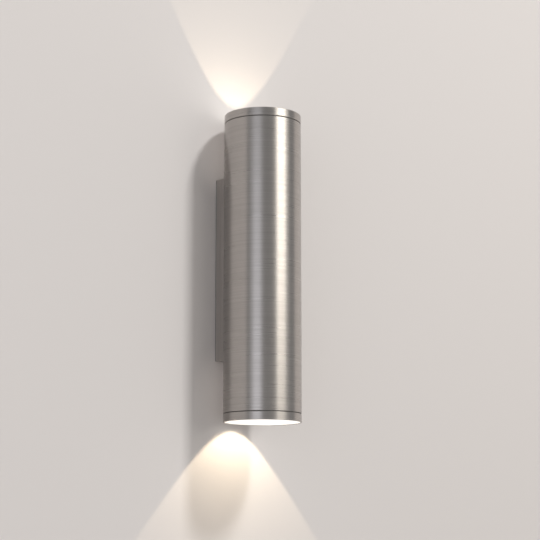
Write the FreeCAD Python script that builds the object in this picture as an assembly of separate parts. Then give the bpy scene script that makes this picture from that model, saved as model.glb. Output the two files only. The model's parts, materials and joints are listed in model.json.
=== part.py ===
import FreeCAD, Part
from FreeCAD import Vector
from math import acos, atan, cos, hypot, pi, radians, sin, sqrt, tan
import os

# Wall light: a round tube standing upright off the wall, lit at its top and bottom.
# Millimetres. X runs along the wall, +Y into the wall, +Z up.
# The pieces are drawn about the tube's own axis at mid-height. The export moves them so that
# the origin lies on the wall, at the middle of the pattern of wall screws.

# ---- tube and its place ----
TUBE_DIAMETER = 75.0
TUBE_WALL = 2.5
LIGHT_HEIGHT = 300.0          # over both end rings
TUBE_OFF_WALL = 5.0           # gap between the wall and the tube's back
MOUTH_CHAMFER = 0.6           # at the tube's bore mouths and on the skirts that enter them
EDGE_BREAK = 0.25             # small chamfer on turned outside edges

# ---- end rings, with their lens, seal and gasket ----
RING_HEIGHT = 7.8             # collar that shows
RING_LIP = 1.24               # width of the rim round the lens
GASKET_THICKNESS = 0.8        # flat gasket that shows as the dark seam
GASKET_RECESS = 0.7           # how far the gasket lies back from the tube's face
LENS_RECESS = 0.4
LENS_THICKNESS = 4.0
LENS_CLEARANCE = 0.15
LENS_BEVEL = 0.4
SEAL_THICKNESS = 0.8
LEDGE_WIDTH = 3.8             # ledge under the lens, inside the rim
SEAL_INSET = 0.4              # seal's bore outside the ledge's
THREAD_PITCH = 1.5
THREAD_TURNS = 6
THREAD_CLEARANCE = 0.05

# ---- lamps ----
LAMP_RADIUS = 25.0
LAMP_FACE_DEPTH = 17.0        # end of the light to the lamp's face
LAMP_LENGTH = 47.0            # face to the foot of the base, without the pins
LAMP_RIM = 4.0
LAMP_SHELL = 1.6
LAMP_FRONT_THICKNESS = 3.0
LAMP_FRONT_RECESS = 0.6
LAMP_FRONT_CLEARANCE = 0.1
LAMP_BASE_RADIUS = 11.0
LAMP_BASE_FLARE = 1.0
LAMP_BASE_HEIGHT = 18.0
LAMP_NECK_OVERLAP = 6.0       # how far the lamp's body reaches down over its base
PIN_SPACING = 10.0
PIN_NECK_RADIUS = 1.6
PIN_HEAD_RADIUS = 2.5
PIN_NECK_LENGTH = 3.4
PIN_HEAD_LENGTH = 3.0
PIN_ROOT = 4.0                # length of pin held in the base

# ---- lampholders ----
HOLDER_LENGTH = 30.0
HOLDER_WIDTH = 17.0
HOLDER_HEIGHT = 16.0
HOLDER_PLATE = 2.5            # front plate that the pin heads hook behind
HOLDER_CAVITY = 6.5
HOLDER_GAP = 0.3              # lamp base to lampholder
SLOT_CLEARANCE = 0.3          # round the pins
ENTRY_CLEARANCE = 0.5         # round the pin heads where they go in
TWIST_ANGLE = 40.0
HOLDER_SCREW_SPACING = 23.0
HOLDER_SCREW_SEAT = 3.0       # depth of the counterbore for the screw's head

# ---- sheet metal chassis ----
SHEET = 1.5
CHASSIS_CLEARANCE = 0.1
SPINE_HALF_ANGLE = 30.0
SPINE_END_MARGIN = 2.0        # past the clinch nuts
FLANGE_WIDTH = 32.0
FLANGE_REACH = 10.0           # past the tube's axis

# ---- housing behind the tube ----
HOUSING_WIDTH = 46.0
HOUSING_SETBACK = 60.0        # each end of the light to the housing's end
HOUSING_WALL = 2.5
HOUSING_WEB = 2.0             # curved wall that the tube lies on
HOUSING_CORNER = 1.0
SADDLE_GAP = 0.5              # between tube and housing, for the gasket
SADDLE_GASKET_PLAY = 0.1      # gasket to each of them
SADDLE_INSET = 1.0
WALL_GASKET = 1.0
WALL_GASKET_INSET = 0.4

# ---- wall bracket ----
BRACKET_GAP = 0.9             # bracket to the housing's side walls
BRACKET_END_GAP = 0.5
TAB_WIDTH = 5.0
TAB_SPACING = 34.0
TAB_GAP = 0.3                 # tab to the housing's curved web
WALL_HOLE_RADIUS = 2.2
WALL_HOLES_ACROSS = 30.0
WALL_HOLES_UP = 124.0

# ---- window in housing, tube and spine, for terminals and supply cable ----
WINDOW_WIDTH = 25.0
WINDOW_FOOT_GAP = 10.2        # lower flange to the window's lower edge
WINDOW_HEAD = 27.0            # terminal block to the window's upper edge, where leads bend
WINDOW_CORNER = 3.0

# ---- cable entry ----
CABLE_HOLE_RISE = 16.0        # window's lower edge to the cable hole's middle
CABLE_BORE_RADIUS = 4.5
GROMMET_WALL = 2.5
GROMMET_FLANGE = 2.0

# ---- terminal block ----
POLE_PITCH = 7.0
POLES = 3
BLOCK_DEPTH = 13.0
BLOCK_LENGTH = 18.0
BLOCK_EDGE = 1.0
BLOCK_PEG_RADIUS = 1.5
BLOCK_PEGS_APART = 12.0
TERMINAL_OUTER_RADIUS = 2.9
TERMINAL_BORE_RADIUS = 2.2
TERMINAL_LENGTH = 15.0
TERMINAL_SCREWS_APART = 8.0

# ---- fasteners: shank radius, head radius, head height ----
M3 = (1.5, 2.75, 2.0)
M4 = (2.0, 4.0, 2.0)
HOLE_CLEARANCE = 0.15         # round a screw that passes through
SCREW_SEAT_GAP = 0.05         # round a screw in its thread, a pin in its base
M3_NUT = (2.75, 2.4)          # half width across flats, height
CLINCH_NUT_RADIUS = 3.6
CLINCH_NUT_HEIGHT = 3.2
NUT_SEAT_GAP = 0.3            # nut to the curved spine
NUT_FLANGE_GAP = 1.2          # clinch nut to the flange under it
TUBE_SCREW_LENGTH = 10.0
TERMINAL_SCREW = (1.5, 1.9, 1.4)
TERMINAL_SCREW_LIFT = 0.6     # its head stays this far off the brass tube
WIRE_GRIP_GAP = 0.05          # screw tip to the leads it holds

# ---- leads ----
LEAD_RADIUS = 1.0
LEAD_HOLE_RADIUS = 1.9
LEAD_ENTRY = 3.0              # how far a lead reaches into the lampholder
LEAD_IN_TERMINAL = 4.0
EARTH_SCREW_LENGTH = 6.0
EARTH_SCREW_X = 9.0
EARTH_SCREW_Y = 21.0
EARTH_TAG_RADIUS = 3.4
EARTH_TAG_SHEET = 0.8
EARTH_BARREL_OFFSET = 6.5
EARTH_BARREL_RADIUS = 1.8
EARTH_BARREL_LENGTH = 6.0
LEAD_PAIR_PITCH = 2.1         # two leads side by side in one terminal
LEAD_DROP = 23.0              # flange to a lead's first bend
LEAD_RISE = 15.0              # terminal block to a lead's last bend
LEAD_CREST = 8.0              # how much higher the lower leads bend over
LEAD_LANE = 9.5               # sideways place of the lower leads as they pass the block
LEAD_PASS = 13.0              # and how far they stay in front of it

# ---- worked out ----
TUBE_R = TUBE_DIAMETER / 2
WALL_TO_AXIS = TUBE_R + TUBE_OFF_WALL
BORE_R = TUBE_R - TUBE_WALL
END = LIGHT_HEIGHT / 2
TUBE_END = END - RING_HEIGHT - GASKET_THICKNESS
MOUTH_R = TUBE_R - RING_LIP
LEDGE_R = MOUTH_R - LEDGE_WIDTH
SKIRT_R = BORE_R - THREAD_CLEARANCE
SKIRT_LENGTH = THREAD_PITCH * THREAD_TURNS
POCKET_DEPTH = LENS_RECESS + LENS_THICKNESS + SEAL_THICKNESS
LAMP_FACE = END - LAMP_FACE_DEPTH
LAMP_FOOT = LAMP_FACE - LAMP_LENGTH
HOLDER_FRONT = LAMP_FOOT - HOLDER_GAP
HOLDER_BACK = HOLDER_FRONT - HOLDER_HEIGHT
FLANGE_BACK = HOLDER_BACK - SHEET
TUBE_SCREW_HEIGHT = HOLDER_BACK + NUT_FLANGE_GAP + CLINCH_NUT_RADIUS
SPINE_HALF_LENGTH = TUBE_SCREW_HEIGHT + CLINCH_NUT_RADIUS + SPINE_END_MARGIN
SPINE_R = BORE_R - CHASSIS_CLEARANCE
SPINE_INNER_R = SPINE_R - SHEET
SADDLE_R = TUBE_R + SADDLE_GAP
WEB_R = SADDLE_R + HOUSING_WEB
HOUSING_HEIGHT = LIGHT_HEIGHT - 2 * HOUSING_SETBACK
RIM_Y = WALL_TO_AXIS - WALL_GASKET
BRACKET_Y = WALL_TO_AXIS - SHEET
BRACKET_HALF = HOUSING_WIDTH / 2 - HOUSING_WALL - BRACKET_GAP
TAB_OUT = HOUSING_HEIGHT / 2 - HOUSING_WALL - BRACKET_END_GAP
HOUSING_SCREW_LENGTH = HOUSING_WALL + BRACKET_END_GAP
HOUSING_SCREW_Y = (BRACKET_Y + sqrt(WEB_R ** 2 - (TAB_SPACING / 2 - M3[0]) ** 2)) / 2
WINDOW_BOTTOM = -FLANGE_BACK + WINDOW_FOOT_GAP
WINDOW_TOP = BLOCK_LENGTH / 2 + WINDOW_HEAD
CABLE_HOLE_HEIGHT = WINDOW_BOTTOM + CABLE_HOLE_RISE
BLOCK_FRONT = BRACKET_Y - BLOCK_DEPTH
WIRE_Y = BRACKET_Y - BLOCK_DEPTH / 2
BLOCK_WIDTH = POLE_PITCH * POLES + BLOCK_EDGE


def cylinder(radius, low, high, x=0.0, y=0.0):
    """An upright cylinder between two heights."""
    return Part.makeCylinder(radius, high - low, Vector(x, y, low))


def rod_y(radius, near, far, x=0.0, z=0.0):
    """A cylinder along Y, from the room side to the wall side."""
    return Part.makeCylinder(radius, far - near, Vector(x, near, z), Vector(0, 1, 0))


def block(x, y, z):
    """A box from three pairs of limits."""
    size = [high - low for low, high in (x, y, z)]
    return Part.makeBox(size[0], size[1], size[2], Vector(x[0], y[0], z[0]))


def turned(points):
    """A solid turned about the tube's axis from (radius, height) points."""
    corners = [Vector(r, 0, z) for r, z in points]
    profile = Part.Face(Part.makePolygon(corners + corners[:1]))
    return profile.revolve(Vector(0, 0, 0), Vector(0, 0, 1), 360)


def joined(shapes):
    """One solid from pieces that overlap or meet."""
    return shapes[0].multiFuse(shapes[1:]).removeSplitter()


def at_lower_end(shape):
    """The copy of an upper piece at the lower end: a half turn keeps its threads right-handed."""
    copy = shape.copy()
    copy.rotate(Vector(0, 0, 0), Vector(0, 1, 0), 180)
    return copy


def rounded_window(half_width, low, high, near, far, corner):
    """A prism along Y with round corners, for an opening."""
    prism = block((-half_width, half_width), (near, far), (low, high))
    edges = [e for e in prism.Edges if abs(e.tangentAt(e.FirstParameter).y) > 0.9]
    return prism.makeFillet(corner, edges)


# ---------------------------------------------------------------- tube and end rings

def window(clearance=0.0):
    """The opening that housing, gasket, tube and spine share."""
    half = WINDOW_WIDTH / 2 + clearance
    near = SPINE_INNER_R * cos(radians(SPINE_HALF_ANGLE))
    low, high = WINDOW_BOTTOM - clearance, WINDOW_TOP + clearance
    return rounded_window(half, low, high, near, WALL_TO_AXIS, WINDOW_CORNER)


def make_body_tube():
    mouth = BORE_R + MOUTH_CHAMFER
    edge = TUBE_R - EDGE_BREAK
    half = [(BORE_R, TUBE_END - MOUTH_CHAMFER), (mouth, TUBE_END), (edge, TUBE_END),
            (TUBE_R, TUBE_END - EDGE_BREAK)]
    tube = turned(half + [(r, -z) for r, z in reversed(half)])
    holes = [rod_y(M4[0] + HOLE_CLEARANCE, 0, WALL_TO_AXIS, 0, side * TUBE_SCREW_HEIGHT)
             for side in (-1, 1)]
    return tube.cut([window()] + holes)


def make_end_ring():
    """Collar with a pocket for the lens, a ledge under it, and the threaded skirt."""
    collar_foot = END - RING_HEIGHT
    skirt_foot = TUBE_END - SKIRT_LENGTH
    return turned([
        (MOUTH_R, END), (TUBE_R - EDGE_BREAK, END), (TUBE_R, END - EDGE_BREAK),
        (TUBE_R, collar_foot + EDGE_BREAK), (TUBE_R - EDGE_BREAK, collar_foot),
        (SKIRT_R, collar_foot), (SKIRT_R, skirt_foot + MOUTH_CHAMFER),
        (SKIRT_R - MOUTH_CHAMFER, skirt_foot), (LEDGE_R, skirt_foot),
        (LEDGE_R, END - POCKET_DEPTH), (MOUTH_R, END - POCKET_DEPTH)])


def make_ring_gasket():
    inner = SKIRT_R + THREAD_CLEARANCE
    ring = cylinder(TUBE_R - GASKET_RECESS, TUBE_END, TUBE_END + GASKET_THICKNESS)
    return ring.cut(cylinder(inner, TUBE_END, TUBE_END + GASKET_THICKNESS))


def make_lens():
    radius = MOUTH_R - LENS_CLEARANCE
    top = END - LENS_RECESS
    foot = top - LENS_THICKNESS
    return turned([(0, foot), (radius - LENS_BEVEL, foot), (radius, foot + LENS_BEVEL),
                   (radius, top - LENS_BEVEL), (radius - LENS_BEVEL, top), (0, top)])


def make_lens_seal():
    foot = END - POCKET_DEPTH
    ring = cylinder(MOUTH_R - LENS_CLEARANCE, foot, foot + SEAL_THICKNESS)
    return ring.cut(cylinder(LEDGE_R + SEAL_INSET, foot, foot + SEAL_THICKNESS))


# ---------------------------------------------------------------- lamp

def pin_places():
    return [-PIN_SPACING / 2, PIN_SPACING / 2]


def make_lamp_pins():
    """Two headed pins, rooted in the base."""
    pins = []
    for x in pin_places():
        neck_foot = LAMP_FOOT - PIN_NECK_LENGTH
        neck = cylinder(PIN_NECK_RADIUS, neck_foot, LAMP_FOOT + PIN_ROOT, x)
        head = cylinder(PIN_HEAD_RADIUS, neck_foot - PIN_HEAD_LENGTH, neck_foot, x)
        head = head.makeChamfer(PIN_NECK_RADIUS / 4, head.Edges)
        pins.append(joined([neck, head]))
    return Part.makeCompound(pins)


def make_lamp_base():
    top = LAMP_FOOT + LAMP_BASE_HEIGHT
    wide = LAMP_BASE_RADIUS + LAMP_BASE_FLARE
    base = turned([(0, LAMP_FOOT), (LAMP_BASE_RADIUS - LAMP_BASE_FLARE, LAMP_FOOT),
                   (LAMP_BASE_RADIUS, LAMP_FOOT + LAMP_BASE_FLARE), (wide, top), (0, top)])
    roots = [cylinder(PIN_NECK_RADIUS + SCREW_SEAT_GAP, LAMP_FOOT,
                      LAMP_FOOT + PIN_ROOT + SCREW_SEAT_GAP, x) for x in pin_places()]
    return base.cut(roots)


def flare(radius_low, low, radius_high, high):
    """An arc that leaves the neck upright and opens towards the lamp's rim."""
    rise, spread = high - low, radius_high - radius_low
    chord = hypot(rise, spread)
    bend = chord / (2 * sin(atan(spread / rise)))
    middle = atan(spread / rise)
    return Part.Arc(Vector(radius_low, 0, low),
                    Vector(radius_low + bend * (1 - cos(middle)), 0, low + bend * sin(middle)),
                    Vector(radius_high, 0, high)).toShape()


def make_lamp_body():
    """Flared shell, open at the front and at the neck."""
    neck_low = LAMP_FOOT + LAMP_BASE_HEIGHT - LAMP_NECK_OVERLAP
    wide = LAMP_BASE_RADIUS + LAMP_BASE_FLARE + SCREW_SEAT_GAP
    neck_out = wide + LAMP_SHELL
    base_top = LAMP_FOOT + LAMP_BASE_HEIGHT
    rim_low = LAMP_FACE - LAMP_RIM
    rim_in = LAMP_RADIUS - LAMP_SHELL
    seat = LAMP_FACE - LAMP_FRONT_RECESS - LAMP_FRONT_THICKNESS
    outside = flare(neck_out, base_top, LAMP_RADIUS, rim_low)
    inside = flare(wide - LAMP_SHELL, base_top + LAMP_SHELL, rim_in - LAMP_SHELL, seat)
    corners = [(rim_in - LAMP_SHELL, seat), (rim_in, seat), (rim_in, LAMP_FACE),
               (LAMP_RADIUS, LAMP_FACE), (LAMP_RADIUS, rim_low)]
    top = Part.makePolygon([Vector(r, 0, z) for r, z in corners])
    foot = Part.makePolygon([Vector(r, 0, z) for r, z in [
        (neck_out, base_top), (neck_out, neck_low), (wide, neck_low), (wide, base_top),
        (wide - LAMP_SHELL, base_top), (wide - LAMP_SHELL, base_top + LAMP_SHELL)]])
    profile = Part.Face(Part.Wire(Part.__sortEdges__([outside, inside] + top.Edges + foot.Edges)))
    shell = profile.revolve(Vector(0, 0, 0), Vector(0, 0, 1), 360)
    return shell


def make_lamp_front():
    top = LAMP_FACE - LAMP_FRONT_RECESS
    radius = LAMP_RADIUS - LAMP_SHELL - LAMP_FRONT_CLEARANCE
    return cylinder(radius, top - LAMP_FRONT_THICKNESS, top)


# ---------------------------------------------------------------- lampholder

def keyhole(half_width, low, high):
    """Curved slot that a lamp pin runs along as the lamp is twisted."""
    radius = PIN_SPACING / 2
    start = cylinder(half_width, low, high, radius)
    finish = start.copy()
    finish.rotate(Vector(0, 0, 0), Vector(0, 0, 1), TWIST_ANGLE)
    strip = Part.makePolygon([Vector(r, 0, z) for r, z in [
        (radius - half_width, low), (radius + half_width, low), (radius + half_width, high),
        (radius - half_width, high), (radius - half_width, low)]])
    path = Part.Face(strip).revolve(Vector(0, 0, 0), Vector(0, 0, 1), TWIST_ANGLE)
    return joined([start, path, finish])


def holder_screw_places():
    return [-HOLDER_SCREW_SPACING / 2, HOLDER_SCREW_SPACING / 2]


def make_lampholder():
    """Ceramic block with round ends, two keyhole slots and two screw holes."""
    radius = HOLDER_WIDTH / 2
    reach = HOLDER_LENGTH / 2 - radius
    body = joined([cylinder(radius, HOLDER_BACK, HOLDER_FRONT, -reach),
                   block((-reach, reach), (-radius, radius), (HOLDER_BACK, HOLDER_FRONT)),
                   cylinder(radius, HOLDER_BACK, HOLDER_FRONT, reach)])
    plate_back = HOLDER_FRONT - HOLDER_PLATE
    cavity_back = plate_back - HOLDER_CAVITY
    head_way = PIN_HEAD_RADIUS + SLOT_CLEARANCE
    cuts = []
    for side in (0, 180):
        narrow = keyhole(PIN_NECK_RADIUS + SLOT_CLEARANCE, plate_back, HOLDER_FRONT)
        wide = keyhole(head_way, cavity_back, plate_back)
        entry = cylinder(PIN_HEAD_RADIUS + ENTRY_CLEARANCE, plate_back, HOLDER_FRONT,
                         PIN_SPACING / 2)
        entry.rotate(Vector(0, 0, 0), Vector(0, 0, 1), TWIST_ANGLE)
        for cut in (narrow, wide, entry):
            cut.rotate(Vector(0, 0, 0), Vector(0, 0, 1), side)
            cuts.append(cut)
    for x in pin_places():
        cuts.append(cylinder(LEAD_RADIUS + HOLE_CLEARANCE, HOLDER_BACK, cavity_back, x))
    for x in holder_screw_places():
        cuts.append(cylinder(M3[0] + HOLE_CLEARANCE, HOLDER_BACK, HOLDER_FRONT, x))
        cuts.append(cylinder(M3[1] + HOLE_CLEARANCE, HOLDER_FRONT - HOLDER_SCREW_SEAT,
                             HOLDER_FRONT, x))
    return body.cut(cuts)


def screw(size, length, x, y, seat):
    """Cheese-head screw pointing down from its seat."""
    shank_r, head_r, head_h = size
    shank = cylinder(shank_r, seat - length, seat, x, y)
    return joined([shank, cylinder(head_r, seat, seat + head_h, x, y)])


def towards_wall(shape):
    """Turn a piece drawn pointing down so that it points at the wall; its y becomes its height."""
    copy = shape.copy()
    copy.rotate(Vector(0, 0, 0), Vector(1, 0, 0), 90)
    return copy


def nut(x, y, top):
    """Hexagon nut under a plate."""
    half, height = M3_NUT
    corner = half / cos(radians(30))
    points = [Vector(x + corner * cos(radians(60 * i)), y + corner * sin(radians(60 * i)),
                     top - height) for i in range(7)]
    hexagon = Part.Face(Part.makePolygon(points)).extrude(Vector(0, 0, height))
    return hexagon.cut(cylinder(M3[0] + SCREW_SEAT_GAP, top - height, top, x, y))


def make_lampholder_screws():
    seat = HOLDER_FRONT - HOLDER_SCREW_SEAT
    length = seat - FLANGE_BACK + M3_NUT[1] + 1
    upper = [screw(M3, length, x, 0, seat) for x in holder_screw_places()]
    return Part.makeCompound(upper + [at_lower_end(s) for s in upper])


def make_lampholder_nuts():
    upper = [nut(x, 0, FLANGE_BACK) for x in holder_screw_places()]
    return Part.makeCompound(upper + [at_lower_end(n) for n in upper])


# ---------------------------------------------------------------- chassis

def make_inner_chassis():
    """Spine rolled to the tube's bore, with a flange at each end for a lampholder."""
    half = SPINE_HALF_LENGTH
    strip = Part.makePolygon([Vector(0, r, z) for r, z in [
        (SPINE_INNER_R, -half), (SPINE_R, -half), (SPINE_R, half), (SPINE_INNER_R, half),
        (SPINE_INNER_R, -half)]])
    spine = Part.Face(strip).revolve(Vector(0, 0, 0), Vector(0, 0, 1), 2 * SPINE_HALF_ANGLE)
    spine.rotate(Vector(0, 0, 0), Vector(0, 0, 1), -SPINE_HALF_ANGLE)
    round_end = FLANGE_REACH - FLANGE_WIDTH / 2
    tongue = joined([
        block((-FLANGE_WIDTH / 2, FLANGE_WIDTH / 2), (-round_end, SPINE_R),
              (FLANGE_BACK, HOLDER_BACK)),
        cylinder(FLANGE_WIDTH / 2, FLANGE_BACK, HOLDER_BACK, 0, -round_end)])
    tongue = tongue.common(cylinder(SPINE_R - SHEET / 2, FLANGE_BACK, HOLDER_BACK))
    holes = [cylinder(M3[0] + HOLE_CLEARANCE, FLANGE_BACK, HOLDER_BACK, x)
             for x in holder_screw_places()]
    holes += [cylinder(LEAD_HOLE_RADIUS, FLANGE_BACK, HOLDER_BACK, x) for x in pin_places()]
    upper = tongue.cut(holes)
    lower = at_lower_end(upper)
    earth_hole = cylinder(M3[0] + SCREW_SEAT_GAP, FLANGE_BACK, HOLDER_BACK,
                          EARTH_SCREW_X, EARTH_SCREW_Y)
    upper = upper.cut(earth_hole)
    nut_holes = [rod_y(M4[0] + SCREW_SEAT_GAP, 0, SPINE_R + SHEET, 0, side * TUBE_SCREW_HEIGHT)
                 for side in (-1, 1)]
    return joined([spine, upper, lower]).cut([window()] + nut_holes)


def make_clinch_nuts():
    """Round nuts pressed against the spine, for the two screws that hold the tube."""
    nuts = []
    for side in (-1, 1):
        z = side * TUBE_SCREW_HEIGHT
        body = rod_y(CLINCH_NUT_RADIUS, SPINE_INNER_R - CLINCH_NUT_HEIGHT, SPINE_R, 0, z)
        body = body.common(cylinder(SPINE_INNER_R - NUT_SEAT_GAP, z - TUBE_R, z + TUBE_R))
        nuts.append(body.cut(rod_y(M4[0] + SCREW_SEAT_GAP, 0, TUBE_R, 0, z)))
    return Part.makeCompound(nuts)


def make_tube_screws():
    """Countersunk screws from the housing's back, through web and tube, into the clinch nuts."""
    shank_r, head_r, head_h = M4
    screws = []
    for side in (-1, 1):
        head = Part.makeCone(shank_r, head_r, head_h, Vector(0, WEB_R - head_h, 0),
                             Vector(0, 1, 0))
        shank = rod_y(shank_r, WEB_R - TUBE_SCREW_LENGTH, WEB_R - head_h)
        piece = joined([head, shank])
        piece.translate(Vector(0, 0, side * TUBE_SCREW_HEIGHT))
        screws.append(piece)
    return Part.makeCompound(screws)


# ---------------------------------------------------------------- housing and its gaskets

def housing_screw_places():
    return [(x, side) for side in (-1, 1) for x in (-TAB_SPACING / 2, TAB_SPACING / 2)]


def make_rear_housing():
    """Box open to the wall, its front hollowed to the tube, with a curved web inside."""
    half_w, half_h = HOUSING_WIDTH / 2, HOUSING_HEIGHT / 2
    outside = block((-half_w, half_w), (0, RIM_Y), (-half_h, half_h))
    corners = [e for e in outside.Edges if abs(e.tangentAt(e.FirstParameter).y) > 0.9]
    outside = outside.makeFillet(HOUSING_CORNER, corners)
    outside = outside.cut(cylinder(SADDLE_R, -half_h, half_h))
    inner_w, inner_h = half_w - HOUSING_WALL, half_h - HOUSING_WALL
    hollow = block((-inner_w, inner_w), (0, RIM_Y), (-inner_h, inner_h))
    hollow = hollow.cut(cylinder(WEB_R, -half_h, half_h))
    shell = outside.cut(hollow)
    shell = [s for s in shell.Solids if s.BoundBox.YMax > SADDLE_R][0]
    shank_r, head_r, head_h = M4
    cuts = [window()]
    for side in (-1, 1):
        z = side * TUBE_SCREW_HEIGHT
        cuts.append(rod_y(shank_r + HOLE_CLEARANCE, 0, RIM_Y, 0, z))
        cuts.append(Part.makeCone(shank_r + HOLE_CLEARANCE, head_r + HOLE_CLEARANCE, head_h,
                                  Vector(0, WEB_R - head_h, z), Vector(0, 1, 0)))
    for x, side in housing_screw_places():
        low, high = sorted((side * inner_h, side * half_h))
        cuts.append(cylinder(M3[0] + SCREW_SEAT_GAP, low, high, x, HOUSING_SCREW_Y))
    return shell.cut(cuts)


def make_saddle_gasket():
    """Thin rubber sheet between the tube and the hollowed front of the housing."""
    half_w = HOUSING_WIDTH / 2 - SADDLE_INSET
    half_h = HOUSING_HEIGHT / 2 - SADDLE_INSET
    outer, inner = SADDLE_R - SADDLE_GASKET_PLAY, TUBE_R + SADDLE_GASKET_PLAY
    sheet = cylinder(outer, -half_h, half_h).cut(cylinder(inner, -half_h, half_h))
    sheet = sheet.common(block((-half_w, half_w), (0, SADDLE_R), (-half_h, half_h)))
    holes = [rod_y(M4[0] + HOLE_CLEARANCE, 0, WALL_TO_AXIS, 0, side * TUBE_SCREW_HEIGHT)
             for side in (-1, 1)]
    return sheet.cut([window()] + holes)


def make_wall_gasket():
    """Foam frame between the housing's rim and the wall."""
    outer_w = HOUSING_WIDTH / 2 - WALL_GASKET_INSET
    outer_h = HOUSING_HEIGHT / 2 - WALL_GASKET_INSET
    inner_w = HOUSING_WIDTH / 2 - HOUSING_WALL
    inner_h = HOUSING_HEIGHT / 2 - HOUSING_WALL
    frame = block((-outer_w, outer_w), (RIM_Y, WALL_TO_AXIS), (-outer_h, outer_h))
    return frame.cut(block((-inner_w, inner_w), (RIM_Y, WALL_TO_AXIS), (-inner_h, inner_h)))


def make_housing_screws():
    """Headless screws, flush in the end walls, whose tips press on the bracket's tabs."""
    top = HOUSING_HEIGHT / 2
    screws = []
    for x, side in housing_screw_places():
        piece = cylinder(M3[0], top - HOUSING_SCREW_LENGTH, top, x, HOUSING_SCREW_Y)
        screws.append(piece if side > 0 else at_lower_end(piece))
    return Part.makeCompound(screws)


# ---------------------------------------------------------------- wall bracket and cable entry

def make_wall_bracket():
    """Plate with tabs bent forward at both ends, four screw holes and the cable hole."""
    plate = block((-BRACKET_HALF, BRACKET_HALF), (BRACKET_Y, WALL_TO_AXIS), (-TAB_OUT, TAB_OUT))
    tabs, holes = [], []
    for x, side in housing_screw_places():
        tab_x = (x - TAB_WIDTH / 2, x + TAB_WIDTH / 2)
        inner_edge = abs(x) - TAB_WIDTH / 2
        front = sqrt(WEB_R ** 2 - inner_edge ** 2) + TAB_GAP
        low, high = sorted((side * (TAB_OUT - SHEET), side * TAB_OUT))
        tabs.append(block(tab_x, (front, BRACKET_Y), (low, high)))
    for x in (-WALL_HOLES_ACROSS / 2, WALL_HOLES_ACROSS / 2):
        for z in (-WALL_HOLES_UP / 2, WALL_HOLES_UP / 2):
            holes.append(rod_y(WALL_HOLE_RADIUS, BRACKET_Y, WALL_TO_AXIS, x, z))
    holes.append(rod_y(CABLE_BORE_RADIUS + GROMMET_WALL, BRACKET_Y, WALL_TO_AXIS, 0,
                       CABLE_HOLE_HEIGHT))
    holes += [rod_y(BLOCK_PEG_RADIUS + SCREW_SEAT_GAP, BRACKET_Y, WALL_TO_AXIS, 0, z)
              for z in block_peg_places()]
    return joined([plate] + tabs).cut(holes)


def make_cable_grommet():
    collar = CABLE_BORE_RADIUS + GROMMET_WALL
    front = BRACKET_Y - GROMMET_FLANGE
    body = joined([rod_y(collar, front, WALL_TO_AXIS, 0, CABLE_HOLE_HEIGHT),
                   rod_y(collar + GROMMET_FLANGE, front, BRACKET_Y, 0, CABLE_HOLE_HEIGHT)])
    return body.cut(rod_y(CABLE_BORE_RADIUS, front, WALL_TO_AXIS, 0, CABLE_HOLE_HEIGHT))


# ---------------------------------------------------------------- terminal block

def block_peg_places():
    return [-BLOCK_PEGS_APART / 2, BLOCK_PEGS_APART / 2]


def pole_places():
    return [POLE_PITCH * (i - (POLES - 1) / 2) for i in range(POLES)]


def terminal_screw_places():
    return [(x, z) for x in pole_places()
            for z in (-TERMINAL_SCREWS_APART / 2, TERMINAL_SCREWS_APART / 2)]


def make_terminal_block():
    """Moulded block on the bracket: a channel for each pole, screw wells at the front."""
    front, half = BLOCK_FRONT, BLOCK_LENGTH / 2
    body = block((-BLOCK_WIDTH / 2, BLOCK_WIDTH / 2), (front, BRACKET_Y), (-half, half))
    edges = [e for e in body.Edges if abs(e.tangentAt(e.FirstParameter).y) > 0.9]
    body = body.makeFillet(BLOCK_EDGE, edges)
    cuts = [cylinder(TERMINAL_OUTER_RADIUS + SCREW_SEAT_GAP, -half, half, x, WIRE_Y)
            for x in pole_places()]
    cuts += [rod_y(TERMINAL_SCREW[1] + HOLE_CLEARANCE, front, WIRE_Y, x, z)
             for x, z in terminal_screw_places()]
    pegs = [rod_y(BLOCK_PEG_RADIUS, BRACKET_Y, WALL_TO_AXIS, 0, z) for z in block_peg_places()]
    return joined([body.cut(cuts)] + pegs)


def make_terminal_tubes():
    half = TERMINAL_LENGTH / 2
    tubes = []
    for x in pole_places():
        tube = cylinder(TERMINAL_OUTER_RADIUS, -half, half, x, WIRE_Y)
        cuts = [cylinder(TERMINAL_BORE_RADIUS, -half, half, x, WIRE_Y)]
        cuts += [rod_y(M3[0] + SCREW_SEAT_GAP, WIRE_Y - POLE_PITCH, WIRE_Y, x, z)
                 for z in (-TERMINAL_SCREWS_APART / 2, TERMINAL_SCREWS_APART / 2)]
        tubes.append(tube.cut(cuts))
    return Part.makeCompound(tubes)


def make_terminal_screws():
    shank_r, head_r, head_h = TERMINAL_SCREW
    seat_y = WIRE_Y - TERMINAL_OUTER_RADIUS - TERMINAL_SCREW_LIFT
    length = WIRE_Y - LEAD_RADIUS - WIRE_GRIP_GAP - seat_y
    return Part.makeCompound([towards_wall(screw(TERMINAL_SCREW, length, x, z, -seat_y))
                              for x, z in terminal_screw_places()])


# ---------------------------------------------------------------- leads

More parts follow.
